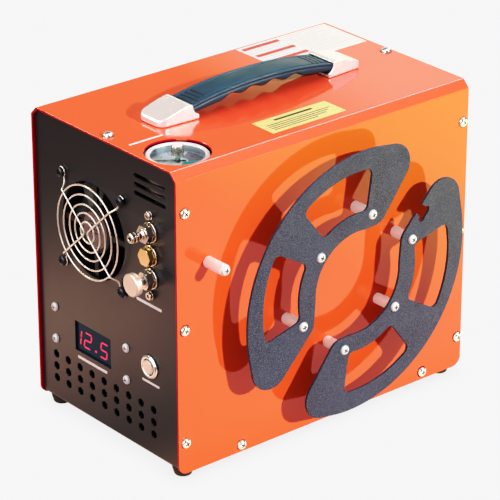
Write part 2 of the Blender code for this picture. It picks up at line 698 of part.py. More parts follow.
def polar(radius, angle):
    """Point about the winding axis, angle in degrees."""
    return (REEL_X + radius * math.cos(math.radians(angle)),
            REEL_Z + radius * math.sin(math.radians(angle)))


def window(inner, outer, start, end, fillet):
    """Ring-sector window with rounded corners."""
    inner_inset = math.degrees(fillet / (inner + fillet))
    outer_inset = math.degrees(fillet / (outer - fillet))

    def corner(radius, angle, first):
        return arc(*polar(radius, angle), fillet, first, first + 90, 3)

    def edge(radius, first, last, parts):
        return [polar(radius, first + (last - first) * i / parts)
                for i in range(1, parts)]

    outer_ends = start + outer_inset, end - outer_inset
    inner_ends = end - inner_inset, start + inner_inset
    return (corner(outer - fillet, outer_ends[0], start - 90)
            + edge(outer, *outer_ends, 5)
            + corner(outer - fillet, outer_ends[1], end)
            + corner(inner + fillet, inner_ends[0], end + 90)
            + edge(inner, *inner_ends, 4)
            + corner(inner + fillet, inner_ends[1], start + 180))


def opposite(points):
    """The same outline turned half a turn about the winding axis."""
    return [(2 * REEL_X - x, 2 * REEL_Z - z) for x, z in points]


def lead_cutter(name, points):
    """Tool drawn along the straight lead slot, for the plate."""
    turned_points = [turn_point(x, z, LEAD_SLOT_TURN) for x, z in points]
    loop = [(x + LEAD_SLOT_AT[0], z + LEAD_SLOT_AT[1]) for x, z in turned_points]
    return outline(name, [loop], 'Y', PLATE_Y - 5, PLATE_Y + 8)


def make_reel():
    screws = [polar(53, 76), polar(48.5, 140), polar(57, 200)]
    loops = [[point for row in WING_ARCS for point in arc(*row)],
             window(56.0, 88.8, 81.8, 127.0, 5.0),
             window(57.5, 91.5, 150.0, 194.5, 5.0)]
    loops += [circle(x, z, 2.2, 10) for x, z in screws]
    limits = (PLATE_Y, PLATE_Y + PLATE_T)
    outline("reel_plate_left", loops, 'Y', *limits, "slate")
    right = outline("reel_plate_right", [opposite(loop) for loop in loops],
                    'Y', *limits, "slate")
    # hook in the rim that holds the end of the lead
    cut(right, lead_cutter("lead_slot", slot(0, 0, 13.5, 5.4, 4)))
    cut(right, lead_cutter("lead_mouth", rect(1.0, 4.5, 8.2, 7.0)))

    plate_post_top = -PLATE_Y - PLATE_T - GAP
    posts = [(at, plate_post_top) for at in screws + opposite(screws)]
    posts.append((LONE_POST, LONE_POST_TOP))
    for i, ((x, z), top) in enumerate(posts):
        profile = ((0, top), (POST_R - POST_EDGE, top), (POST_R, top - POST_EDGE),
                   (POST_R, GAP), (0, GAP))
        turned("reel_standoff_%d" % (i + 1), profile, 14, "white",
               origin=(x, 0, z), rot=TO_REEL_SIDE)


# --------------------------------------------------------- power, motor, gears
INLET_BODY, INLET_FLANGE, INLET_SOCKET = (13.6, 10.1), (20, 12.5), (11.5, 8.0)
MOTOR_Y, MOTOR_Z = 45.0, 60.0
MODULE, PINION_TEETH, GEAR_TEETH = 1.5, 12, 36
CRANK_Y = MOTOR_Y
CRANK_Z = MOTOR_Z + MODULE * PINION_TEETH / 2 + MODULE * GEAR_TEETH / 2
MOTOR_AXIS, CRANK_AXIS = (0, MOTOR_Y, MOTOR_Z), (0, CRANK_Y, CRANK_Z)
# (radius, distance from the end with the pinion)
MOTOR_CASE = ((5.2, 0), (5.2, 110), (28, 110), (31.5, 106), (31.5, 4), (28, 0))
BACKLASH = 0.14                                # off each flank at the pitch line


def make_power():
    """Supply box on the floor and the lead inlet in the rear panel."""
    box("power_supply", (72, 224), (88, 158), (FLOOR_Z, FLOOR_Z + 44), "alloy")
    inlet = centred_box("power_inlet", (258, REAR_X - SHEET + 0.6), INLET_AT,
                        INLET_BODY, "black")
    join(inlet, centred_box("inlet_flange", (REAR_X + 0.3, REAR_X + 2.3),
                            INLET_AT, INLET_FLANGE))
    join(inlet, centred_box("inlet_neck", (REAR_X - 4, REAR_X + 1), INLET_AT,
                            INLET_BODY))
    cut(inlet, centred_box("inlet_socket", (REAR_X - 14, REAR_X + 10), INLET_AT,
                           INLET_SOCKET))


def make_motor():
    turned("motor_case", MOTOR_CASE, 20, "steel", origin=(152, MOTOR_Y, MOTOR_Z),
           rot=TO_REAR, ring=True)
    bracket = box("motor_bracket", (146.5, 149.5), (12, 78), (FLOOR_Z, 96),
                  "steel")
    cut(bracket, rod("bracket_bore", 12.0, 140, 156, 24, origin=MOTOR_AXIS,
                     rot=TO_REAR))
    cut(bracket, rod("bracket_relief", 9.0, 140, 156, 20, origin=CRANK_AXIS,
                     rot=TO_REAR))


def gear(name, teeth, phase, x_low, x_high, axis):
    """Involute-flanked spur gear, with a tooth at phase and working backlash."""
    pitch_r = MODULE * teeth / 2
    base_r = pitch_r * math.cos(math.radians(20))    # pressure angle
    half_tooth = math.pi / teeth / 2 - BACKLASH / pitch_r

    def involute(radius):
        if radius <= base_r:
            return 0.0
        angle = math.acos(base_r / radius)
        return math.tan(angle) - angle

    radii = (pitch_r - 1.15 * MODULE, pitch_r, pitch_r + 0.80 * MODULE)
    flank = [(r, half_tooth + involute(pitch_r) - involute(r)) for r in radii]
    tooth = [(r, -a) for r, a in flank] + flank[::-1]
    points = []
    for k in range(teeth):
        middle = phase + 2 * math.pi * k / teeth
        points += [(axis[1] + r * math.cos(middle + a),
                    axis[2] + r * math.sin(middle + a)) for r, a in tooth]
    return outline(name, [points], 'X', x_low, x_high, "steel", origin=axis)


def make_gears():
    # a pinion tooth points at the wheel, a wheel gap points at the pinion
    pinion = gear("motor_pinion", PINION_TEETH, math.pi / 2, 130, 142, MOTOR_AXIS)
    join(pinion, rod("motor_shaft", 4.0, 126, 250, 14, origin=MOTOR_AXIS,
                     rot=TO_REAR))
    wheel = gear("crank_gear", GEAR_TEETH, -math.pi / 2 + math.pi / GEAR_TEETH,
                 131, 139, CRANK_AXIS)
    join(wheel, rod("crank_shaft", 6.0, 101, 145, 18, origin=CRANK_AXIS,
                    rot=TO_REAR))


# ---------------------------------------------------------- pump and gas lines
CYLINDER_X = 109
CRANKCASE_REACH = 26                           # crank axis to sides and top
LOW_BASE_Z = CRANK_Z + CRANKCASE_REACH + GAP
HIGH_BASE_Y = CRANK_Y + CRANKCASE_REACH + GAP
FIN_T = 3.5
BOTTLE_X, BOTTLE_Y = 52, 30
# (radius, Z)
BOTTLE = ((0, 152), (4, 152), (4, 146), (12.5, 142), (13, 140), (13, 40),
          (12, 38), (0, 38))


def finned(base, height, core_r, fin_r, first, pitch, count, rise, foot):
    """Profile of a finned cylinder: the top face of the first fin is first
    above base, and the sloped groove over each fin ends rise above it."""
    profile = [(0, base + height), (fin_r, base + height),
               (fin_r, base + first + rise)]
    for i in range(count):
        z = base + first - pitch * i
        profile += [(core_r, z + rise), (core_r, z), (fin_r, z),
                    (fin_r, z - FIN_T)]
    return profile + [(core_r, base + foot), (core_r, base), (0, base)]


def make_pump():
    crankcase = box("crankcase", (94, 124),
                    (CRANK_Y - CRANKCASE_REACH, CRANK_Y + CRANKCASE_REACH),
                    (CRANK_Z - 28, CRANK_Z + CRANKCASE_REACH), "alloy")
    bevel(crankcase, 3.0, 1)
    cut(crankcase, rod("crank_bore", 6.4, 99, 130, 20, origin=CRANK_AXIS,
                       rot=TO_REAR))
    low = finned(LOW_BASE_Z, height=58, core_r=13, fin_r=19, first=49,
                 pitch=11.5, count=4, rise=3, foot=8)
    turned("cylinder_low_stage", low, 16, "alloy",
           origin=(CYLINDER_X, CRANK_Y, 0))
    high = finned(0, height=52, core_r=8, fin_r=12.5, first=43,
                  pitch=12.5, count=3, rise=4, foot=9)
    turned("cylinder_high_stage", high, 14, "alloy",
           origin=(CYLINDER_X, HIGH_BASE_Y, CRANK_Z), rot=TO_PLAIN_SIDE)
    turned("separator_bottle", BOTTLE, 16, "alloy",
           origin=(BOTTLE_X, BOTTLE_Y, 0))


def smooth_path(knots):
    """Catmull-Rom points through the knots, three to a span."""
    path = []
    padded = [Vector(p) for p in (knots[0], *knots, knots[-1])]
    for before, start, end, after in zip(padded, padded[1:], padded[2:],
                                         padded[3:]):
        for i in range(3):
            t = i / 3
            path.append(0.5 * ((2 * start) + (end - before) * t
                               + (2 * before - 5 * start + 4 * end - after) * t ** 2
                               + (3 * start - before - 3 * end + after) * t ** 3))
    return path + [knots[-1]]


def make_lines():
    """Pipes from the high stage to the bottle and on to the manifold."""
    high_pressure = [(CYLINDER_X, HIGH_BASE_Y + 52.5, CRANK_Z),
                     (CYLINDER_X, HIGH_BASE_Y + 60, CRANK_Z),
                     (100, HIGH_BASE_Y + 66, CRANK_Z + 10),
                     (84, 110, 150), (66, 60, 176),
                     (BOTTLE_X, BOTTLE_Y + 4, 172),
                     (BOTTLE_X, BOTTLE_Y, 160), (BOTTLE_X, BOTTLE_Y, 152.5)]
    tube("high_pressure_line", smooth_path(high_pressure), 2.0, "steel")
    delivery = [(BOTTLE_X - 13.6, BOTTLE_Y, 133), (BOTTLE_X - 18, BOTTLE_Y, 133),
                (PANEL_BACK + 24, PORT_Y, 140), (PANEL_BACK + 17.7, PORT_Y, 140)]
    tube("delivery_line", smooth_path(delivery), 1.8, "steel")


make_tray()
make_cover()
make_feet()
make_grip()
make_handle_cap("front")
make_handle_cap("rear")
make_fan()
make_gauge()
make_display()
make_button()
make_manifold()
make_fittings()
make_reel()
make_power()
make_motor()
make_gears()
make_pump()
make_lines()
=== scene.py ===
"""Looks of the portable air compressor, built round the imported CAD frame.

Shapes are authored in millimetres in the case frame, whose origin is the lower
corner of the cover where the control panel meets the reel side; ORG is that
corner in the shared frame, read from the CAD.
"""
import math
import bmesh
import bpy
from mathutils import Matrix, Vector


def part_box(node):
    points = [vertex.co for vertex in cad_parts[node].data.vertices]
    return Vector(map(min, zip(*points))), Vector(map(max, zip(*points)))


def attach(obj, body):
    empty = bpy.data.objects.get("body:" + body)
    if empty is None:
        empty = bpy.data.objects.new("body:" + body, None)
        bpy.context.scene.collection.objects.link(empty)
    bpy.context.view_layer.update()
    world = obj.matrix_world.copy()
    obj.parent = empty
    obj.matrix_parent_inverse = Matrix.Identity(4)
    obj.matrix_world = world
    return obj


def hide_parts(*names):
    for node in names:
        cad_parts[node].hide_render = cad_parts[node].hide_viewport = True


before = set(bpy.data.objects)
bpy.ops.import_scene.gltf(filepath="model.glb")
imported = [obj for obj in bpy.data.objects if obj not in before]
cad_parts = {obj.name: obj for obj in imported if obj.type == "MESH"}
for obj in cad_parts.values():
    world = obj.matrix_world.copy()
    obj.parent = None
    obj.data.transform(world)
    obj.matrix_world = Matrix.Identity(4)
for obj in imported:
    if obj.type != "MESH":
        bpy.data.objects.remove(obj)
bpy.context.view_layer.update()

MM = 0.001
ORG = Vector(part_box("top_cover")[0])
SCN = bpy.context.scene
BENCH = bpy.data.collections.new("bench")       # short-lived helper objects
SCN.collection.children.link(BENCH)


def corner(node):
    """Low and high corner of a CAD node in case millimetres."""
    lo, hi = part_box(node)
    return [(v - ORG) / MM for v in (Vector(lo), Vector(hi))]


def centre(node):
    lo, hi = corner(node)
    return (lo + hi) / 2


COVER = corner("top_cover")[1]
L, W, H = COVER.x, COVER.y, COVER.z             # 282 x 171 x 238.5
SHEET, FOLD, GAP = 1.5, 6.2, 0.3
PX0 = corner("base_tray")[0].x                  # outer face of control panel
PX1 = PX0 + SHEET
RX1 = corner("base_tray")[1].x                  # outer face of rear panel
FLOOR0 = corner("base_tray")[0].z

# ===================================================================== meshes


def sweep(cx, cy, r, a0, a1, n):
    return [(cx + r * math.cos(math.radians(a0 + (a1 - a0) * i / n)),
             cy + r * math.sin(math.radians(a0 + (a1 - a0) * i / n)))
            for i in range(n + 1)]


def circle(cx, cy, r, n=64):
    return sweep(cx, cy, r, 0, 360 - 360 / n, n - 1)


def rect(cx, cy, w, h):
    return [(cx - w / 2, cy - h / 2), (cx + w / 2, cy - h / 2),
            (cx + w / 2, cy + h / 2), (cx - w / 2, cy + h / 2)]


def slot(cx, cy, w, h, n=10):
    return (sweep(cx + w / 2 - h / 2, cy, h / 2, -90, 90, n)
            + sweep(cx - w / 2 + h / 2, cy, h / 2, 90, 270, n))


def hexagon(cx, cy, r, turn=30):
    return [(cx + r * math.cos(math.radians(turn + 60 * i)),
             cy + r * math.sin(math.radians(turn + 60 * i))) for i in range(6)]


def soften(pts, r, n=4, closed=True):
    """Round the corners of a polyline; r is one radius or one per point."""
    out, k = [], len(pts)
    rs = r if isinstance(r, (list, tuple)) else [r] * k
    for i, p in enumerate(pts):
        if (not closed and i in (0, k - 1)) or rs[i] <= 0:
            out.append(tuple(p))
            continue
        p = Vector(p)
        a, b = Vector(pts[i - 1]) - p, Vector(pts[(i + 1) % k]) - p
        la, lb = a.length, b.length
        if la < 1e-6 or lb < 1e-6:
            out.append(tuple(p))
            continue
        a, b = a / la, b / lb
        dot = max(-1.0, min(1.0, a.dot(b)))
        half = math.acos(dot) / 2
        if half > math.radians(88.5) or half < math.radians(2):
            out.append(tuple(p))
            continue
        t = min(rs[i] / math.tan(half), 0.48 * la, 0.48 * lb)
        rr = t * math.tan(half)
        c = p + (a + b).normalized() * (rr / math.sin(half))
        s, e = p + a * t - c, p + b * t - c
        a0, a1 = math.atan2(s.y, s.x), math.atan2(e.y, e.x)
        d = (a1 - a0 + math.pi) % (2 * math.pi) - math.pi
        for j in range(n + 1):
            w = a0 + d * j / n
            out.append((c.x + rr * math.cos(w), c.y + rr * math.sin(w)))
    return out


AXES = {
    'X': Matrix(((0, 0, 1, 0), (1, 0, 0, 0), (0, 1, 0, 0), (0, 0, 0, 1))),
    'Y': Matrix(((1, 0, 0, 0), (0, 0, -1, 0), (0, 1, 0, 0), (0, 0, 0, 1))),
    'Z': Matrix.Identity(4),
}
TURN = {
    '-X': Matrix.Rotation(-math.pi / 2, 4, 'Y'),
    '+X': Matrix.Rotation(math.pi / 2, 4, 'Y'),
    '-Y': Matrix.Rotation(math.pi / 2, 4, 'X'),
    '+Y': Matrix.Rotation(-math.pi / 2, 4, 'X'),
    '+Z': Matrix.Identity(4),
    '-Z': Matrix.Rotation(math.pi, 4, 'X'),
}


def from_curve(cu):
    tmp = bpy.data.objects.new("tmp", cu)
    BENCH.objects.link(tmp)
    dg = bpy.context.evaluated_depsgraph_get()
    me = bpy.data.meshes.new_from_object(tmp.evaluated_get(dg))
    bpy.data.objects.remove(tmp, do_unlink=True)
    bpy.data.curves.remove(cu)
    return me


def plate(loops, axis, lo, hi, edge=0.0, res=1):
    """Flat shape with holes and rounded rims, between lo and hi on axis."""
    cu = bpy.data.curves.new("tmp", 'CURVE')
    cu.dimensions = '2D'
    cu.fill_mode = 'BOTH'
    cu.extrude = (hi - lo) / 2 - edge
    cu.bevel_depth = edge
    cu.bevel_resolution = res
    cu.offset = -edge
    for pts in loops:
        sp = cu.splines.new('POLY')
        sp.points.add(len(pts) - 1)
        for p, (a, b) in zip(sp.points, pts):
            p.co = (a, b, 0, 1)
        sp.use_cyclic_u = True
    me = from_curve(cu)
    mid = {'X': ((lo + hi) / 2, 0, 0), 'Y': (0, (lo + hi) / 2, 0),
           'Z': (0, 0, (lo + hi) / 2)}[axis]
    me.transform(Matrix.Translation(mid) @ AXES[axis])
    return me


def lathe(profile, at=(0, 0, 0), way='+Z', steps=64, ring=False):
    """Turned solid: (radius, height) points about an axis through at."""
    bm = bmesh.new()
    vs = [bm.verts.new((r, 0, h)) for r, h in profile]
    es = [bm.edges.new(p) for p in zip(vs, vs[1:] + (vs[:1] if ring else []))]
    bmesh.ops.spin(bm, geom=vs + es, cent=(0, 0, 0), axis=(0, 0, 1),
                   angle=2 * math.pi, steps=steps, use_merge=True)
    bmesh.ops.remove_doubles(bm, verts=bm.verts, dist=1e-4)
    bmesh.ops.recalc_face_normals(bm, faces=bm.faces)
    me = bpy.data.meshes.new("tmp")
    bm.to_mesh(me)
    bm.free()
    me.transform(Matrix.Translation(at) @ TURN[way])
    return me


def wire(paths, r, sides=4, cyclic=False):
    """Round wire through smooth paths of points."""
    cu = bpy.data.curves.new("tmp", 'CURVE')
    cu.dimensions = '3D'
    cu.bevel_depth = r
    cu.bevel_resolution = sides
    cu.use_fill_caps = True
    for pts in paths:
        sp = cu.splines.new('POLY')
        sp.points.add(len(pts) - 1)
        for p, q in zip(sp.points, pts):
            p.co = list(q) + [1]
        sp.use_cyclic_u = cyclic
    return from_curve(cu)


def flow(knots, n=8):
    """Catmull-Rom points through the knots."""
    out = []
    k = [knots[0]] + list(knots) + [knots[-1]]
    for a, b, c, d in zip(k, k[1:], k[2:], k[3:]):
        a, b, c, d = map(Vector, (a, b, c, d))
        for i in range(n):
            t = i / n
            out.append(tuple(0.5 * ((2 * b) + (c - a) * t
                                    + (2 * a - 5 * b + 4 * c - d) * t ** 2
                                    + (3 * b - a - 3 * c + d) * t ** 3)))
    return out + [tuple(knots[-1])]


def block(x, y, z):
    bm = bmesh.new()
    bmesh.ops.create_cube(bm, size=1.0)
    bmesh.ops.scale(bm, vec=[b - a for a, b in (x, y, z)], verts=bm.verts)
    bmesh.ops.translate(bm, vec=[(a + b) / 2 for a, b in (x, y, z)],
                        verts=bm.verts)
    me = bpy.data.meshes.new("tmp")
    bm.to_mesh(me)
    bm.free()
    return me


def weld(me, dist=1e-4):
    bm = bmesh.new()
    bm.from_mesh(me)
    bmesh.ops.remove_doubles(bm, verts=bm.verts, dist=dist)
    bmesh.ops.recalc_face_normals(bm, faces=bm.faces)
    bm.to_mesh(me)
    bm.free()
    return me


def combine(op, a, *tools):
    """Boolean of plain meshes, in order."""
    ob = bpy.data.objects.new("tmp", weld(a))
    BENCH.objects.link(ob)
    used = []
    for t in tools:
        to = bpy.data.objects.new("tmp", weld(t))
        BENCH.objects.link(to)
        m = ob.modifiers.new("b", 'BOOLEAN')
        m.operation = op
        m.object = to
        m.solver = 'EXACT'
        used.append(to)
    dg = bpy.context.evaluated_depsgraph_get()
    me = bpy.data.meshes.new_from_object(ob.evaluated_get(dg))
    for o in [ob] + used:
        bpy.data.objects.remove(o, do_unlink=True)
    me.materials.clear()
    return me


def melted(me, voxel, rounds):
    """Same solid with its edges worn soft."""
    ob = bpy.data.objects.new("tmp", weld(me))
    BENCH.objects.link(ob)
    m = ob.modifiers.new("r", 'REMESH')
    m.mode = 'VOXEL'
    m.voxel_size = voxel
    m = ob.modifiers.new("s", 'SMOOTH')
    m.factor = 0.5
    m.iterations = rounds
    dg = bpy.context.evaluated_depsgraph_get()
    out = bpy.data.meshes.new_from_object(ob.evaluated_get(dg))
    bpy.data.objects.remove(ob, do_unlink=True)
    bm = bmesh.new()                            # keep the largest shell only
    bm.from_mesh(out)
    left, shells = set(bm.verts), []
    while left:
        stack = [left.pop()]
        shell = list(stack)
        while stack:
            for e in stack.pop().link_edges:
                for v in e.verts:
                    if v in left:
                        left.remove(v)
                        stack.append(v)
                        shell.append(v)
        shells.append(shell)
    shells.sort(key=len)
    bmesh.ops.delete(bm, geom=[v for sh in shells[:-1] for v in sh],
                     context='VERTS')
    bm.to_mesh(out)
    bm.free()
    return out


def joined(*meshes):
    bm = bmesh.new()
    for me in meshes:
        bm.from_mesh(me)
    out = bpy.data.meshes.new("tmp")
    bm.to_mesh(out)
    bm.free()
    return out


def piece(name, me, mat, body="case", stands=(), angle=32,
          bevel=None, flat=False, here=False):
    """Put a case-millimetre mesh in the shared frame and ride it on a body."""
    weld(me)
    if not here:
        me.transform(Matrix.Translation(ORG) @ Matrix.Scale(MM, 4))
    me.materials.clear()
    me.materials.append(mat)
    me.name = name
    ob = bpy.data.objects.new(name, me)
    SCN.collection.objects.link(ob)
    if not flat:
        me.shade_smooth()
        me.set_sharp_from_angle(angle=math.radians(angle))
        if bevel:
            b = ob.modifiers.new("edge", 'BEVEL')
            b.width = bevel * MM
            b.segments = 2
            b.limit_method = 'ANGLE'
            b.angle_limit = math.radians(40)
            b.harden_normals = False
        w = ob.modifiers.new("normals", 'WEIGHTED_NORMAL')
        w.mode = 'FACE_AREA_WITH_ANGLE'
        w.keep_sharp = True
    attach(ob, body)
    if stands:
        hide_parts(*stands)
    return ob


# ================================================================== materials


def shader(name, color, rough, metal=0.0, blotch=(20.0, 0.05), smudge=0.12,
           grain=None, grain2=None, speck=None, edge_wear_and_highlight=None, stretch=None,
           coat=None, ior=1.5, sss=None, sheen=None, dust=None,
           tint=None):
    """Procedural Principled material; noise scales are features per metre."""
    mat = bpy.data.materials.new(name)
    mat.use_nodes = True
    nt = mat.node_tree
    bsdf = nt.nodes["Principled BSDF"]
    coord = nt.nodes.new("ShaderNodeTexCoord").outputs["Object"]

    def noise(scale, detail=3.0, pull=None):
        vec = coord
        if pull:
            mp = nt.nodes.new("ShaderNodeMapping")
            mp.inputs["Scale"].default_value = pull
            nt.links.new(vec, mp.inputs["Vector"])
            vec = mp.outputs["Vector"]
        n = nt.nodes.new("ShaderNodeTexNoise")
        n.inputs["Scale"].default_value = scale
        n.inputs["Detail"].default_value = detail
        nt.links.new(vec, n.inputs["Vector"])
        return n.outputs[0]

    def span(src, lo, hi, f0=0.3, f1=0.7):
        m = nt.nodes.new("ShaderNodeMapRange")
        for i, v in enumerate((f0, f1, lo, hi)):
            m.inputs[i + 1].default_value = v
        nt.links.new(src, m.inputs[0])
        return m.outputs[0]

    def mix(fac, a, b):
        m = nt.nodes.new("ShaderNodeMix")
        m.data_type = 'RGBA'
        for sock, v in ((m.inputs[0], fac), (m.inputs[6], a), (m.inputs[7], b)):
            if isinstance(v, (tuple, list)):
                sock.default_value = tuple(v) + (1.0,) * (4 - len(v))
            elif isinstance(v, float):
                sock.default_value = v
            else:
                nt.links.new(v, sock)
        return m.outputs[2]

    dark = tuple(c * (1 - blotch[1]) for c in color)
    lite = tuple(min(1.0, c * (1 + blotch[1])) for c in color)
    col = mix(span(noise(blotch[0], 4.0), 0.0, 1.0), dark, lite)
    if speck:                                   # (scale, colour, share, low)
        col = mix(span(noise(speck[0], 2.0), 0.0, speck[2], speck[3], 0.78),
                  col, speck[1])
    if dust:
        col = mix(span(noise(dust[0], 1.0), 0.0, dust[2], 0.72, 0.80), col,
                  dust[1])
    r = span(noise(55.0, 4.0, stretch), max(0.02, rough * (1 - smudge)),
             min(1.0, rough * (1 + smudge)))
    if edge_wear_and_highlight:                                    # (colour, share, radius mm)
        # lighter edges from a bevel mask: real wear on some finishes, a painted
        # edge highlight on others
        bev = nt.nodes.new("ShaderNodeBevel")
        bev.samples = 4
        bev.inputs["Radius"].default_value = edge_wear_and_highlight[2] * MM
        geo = nt.nodes.new("ShaderNodeNewGeometry")
        dot = nt.nodes.new("ShaderNodeVectorMath")
        dot.operation = 'DOT_PRODUCT'
        nt.links.new(bev.outputs[0], dot.inputs[0])
        nt.links.new(geo.outputs["Normal"], dot.inputs[1])
        edge = span(dot.outputs["Value"], edge_wear_and_highlight[1], 0.0, 0.75, 0.97)
        col = mix(edge, col, edge_wear_and_highlight[0])
    nt.links.new(col, bsdf.inputs["Base Color"])
    nt.links.new(r, bsdf.inputs["Roughness"])
    bsdf.inputs["Metallic"].default_value = metal
    bsdf.inputs["IOR"].default_value = ior
    last = None
    for g in (grain, grain2):                   # (scale, strength, depth mm)
        if g:
            b = nt.nodes.new("ShaderNodeBump")
            b.inputs["Strength"].default_value = g[1]
            b.inputs["Distance"].default_value = g[2] * MM
            nt.links.new(noise(g[0], 3.0, stretch), b.inputs["Height"])
            if last:
                nt.links.new(last, b.inputs["Normal"])
            last = b.outputs["Normal"]
    if last:
        nt.links.new(last, bsdf.inputs["Normal"])
    if coat:
        bsdf.inputs["Coat Weight"].default_value = coat[0]
        bsdf.inputs["Coat Roughness"].default_value = coat[1]
    if sss:
        bsdf.inputs["Subsurface Weight"].default_value = sss[0]
        bsdf.inputs["Subsurface Radius"].default_value = (1.0, 0.6, 0.45)
        bsdf.inputs["Subsurface Scale"].default_value = sss[1] * MM
    if sheen:
        bsdf.inputs["Sheen Weight"].default_value = sheen
    if tint:
        bsdf.inputs["Specular Tint"].default_value = tuple(tint) + (1.0,)
    mat.diffuse_color = tuple(color) + (1.0,)
    return mat


def clear(name, tint, gloss=0.06, rough=0.03):
    """Thin clear pane: tinted transmission under a Fresnel reflection."""
    mat = bpy.data.materials.new(name)
    mat.use_nodes = True
    nt = mat.node_tree
    nt.nodes.clear()
    out = nt.nodes.new("ShaderNodeOutputMaterial")
    tr = nt.nodes.new("ShaderNodeBsdfTransparent")
    tr.inputs["Color"].default_value = tuple(tint) + (1.0,)
    gl = nt.nodes.new("ShaderNodeBsdfGlossy")
    nz = nt.nodes.new("ShaderNodeTexNoise")
    nz.inputs["Scale"].default_value = 90.0
    mr = nt.nodes.new("ShaderNodeMapRange")
    mr.inputs[3].default_value = rough * 0.6
    mr.inputs[4].default_value = rough * 1.8
    nt.links.new(nz.outputs[0], mr.inputs[0])
    nt.links.new(mr.outputs[0], gl.inputs["Roughness"])
    fr = nt.nodes.new("ShaderNodeFresnel")
    fr.inputs["IOR"].default_value = 1.5
    back = nt.nodes.new("ShaderNodeNewGeometry")
    one = nt.nodes.new("ShaderNodeMath")
    one.operation = 'SUBTRACT'
    one.inputs[0].default_value = 1.0
    nt.links.new(back.outputs["Backfacing"], one.inputs[1])
    both = nt.nodes.new("ShaderNodeMath")
    both.operation = 'MULTIPLY'
    nt.links.new(fr.outputs[0], both.inputs[0])
    nt.links.new(one.outputs[0], both.inputs[1])
    ms = nt.nodes.new("ShaderNodeMixShader")
    nt.links.new(both.outputs[0], ms.inputs[0])
    nt.links.new(tr.outputs[0], ms.inputs[1])
    nt.links.new(gl.outputs[0], ms.inputs[2])
    nt.links.new(ms.outputs[0], out.inputs["Surface"])
    mat.diffuse_color = tuple(tint) + (0.4,)
    return mat


def glow(name, color, power):
    """Lit display segment with a faint unevenness along it."""
    mat = shader(name, color, 0.35, blotch=(300.0, 0.1))
    b = mat.node_tree.nodes["Principled BSDF"]
    b.inputs["Emission Color"].default_value = tuple(color) + (1.0,)
    b.inputs["Emission Strength"].default_value = power
    return mat


ORANGE = shader("orange_enamel", (0.90, 0.124, 0.062), 0.07, ior=1.55,
                blotch=(9.0, 0.035), smudge=0.35, grain=(260.0, 0.10, 0.020),
                grain2=(9.0, 0.10, 0.35))
ORANGE_SIDE_PAINTED_LIGHT = shader("orange_enamel_side_painted_light", (0.90, 0.130, 0.040), 0.07,
                     ior=1.55, blotch=(9.0, 0.035), smudge=0.35,
                     grain=(260.0, 0.10, 0.020), grain2=(9.0, 0.10, 0.35),
                     tint=(1.0, 0.42, 0.75))
# painted light: the base colour turns yellower towards the upper rear corner,
# standing in for the brighter light falling there
nt = ORANGE_SIDE_PAINTED_LIGHT.node_tree
base_in = nt.nodes["Principled BSDF"].inputs["Base Color"]
was = base_in.links[0].from_socket
at = nt.nodes.new("ShaderNodeSeparateXYZ")
nt.links.new(nt.nodes.new("ShaderNodeTexCoord").outputs["Object"], at.inputs[0])
reach = nt.nodes.new("ShaderNodeMath")
reach.operation = 'MULTIPLY_ADD'
reach.inputs[1].default_value = 1.5
nt.links.new(at.outputs["Z"], reach.inputs[0])
nt.links.new(at.outputs["X"], reach.inputs[2])
share = nt.nodes.new("ShaderNodeMapRange")
for i, v in enumerate((0.22, 0.48, 0.0, 1.0)):
    share.inputs[i + 1].default_value = v
nt.links.new(reach.outputs[0], share.inputs[0])
painted_light_mix = nt.nodes.new("ShaderNodeMix")
painted_light_mix.data_type = 'RGBA'
painted_light_mix.inputs[7].default_value = (0.90, 0.215, 0.040, 1.0)
nt.links.new(share.outputs[0], painted_light_mix.inputs[0])
nt.links.new(was, painted_light_mix.inputs[6])
nt.links.new(painted_light_mix.outputs[2], base_in)
# dark crimson enamel for the cover's cut edges and inner faces: painted shade
EDGE_PAINTED_SHADE = shader("enamel_painted_shade_edge", (0.50, 0.006, 0.030), 0.34, ior=1.35,
                  blotch=(90.0, 0.12), smudge=0.3, grain=(900.0, 0.3, 0.04),
                  tint=(0.6, 0.1, 0.3))
BLACK = shader("black_powder_coat", (0.030, 0.036, 0.041), 0.30, ior=1.55,
               tint=(0.97, 0.96, 1.0),
               blotch=(9.0, 0.08), smudge=0.06, grain=(1500.0, 0.25, 0.04),
               grain2=(380.0, 0.05, 0.03), speck=(3200.0, (0.06, 0.055, 0.05),
                                                0.4, 0.55),
               edge_wear_and_highlight=((0.10, 0.09, 0.085), 0.5, 0.35))
# slate powder coat; its lighter rims from the bevel mask are a painted edge
# highlight
SLATE = shader("slate_powder_coat", (0.042, 0.067, 0.095), 0.44, ior=1.30,
               tint=(0.5, 0.50, 1.0),
               blotch=(60.0, 0.12), smudge=0.15, grain=(1400.0, 0.55, 0.08),
               speck=(2300.0, (0.24, 0.23, 0.26), 0.9, 0.50),
               dust=(2600.0, (0.012, 0.014, 0.02), 0.8),
               edge_wear_and_highlight=((0.22, 0.25, 0.28), 0.6, 0.30))
RUBBER = shader("foot_rubber", (0.014, 0.014, 0.015), 0.62,
                grain=(900.0, 0.3, 0.05), blotch=(80.0, 0.2))
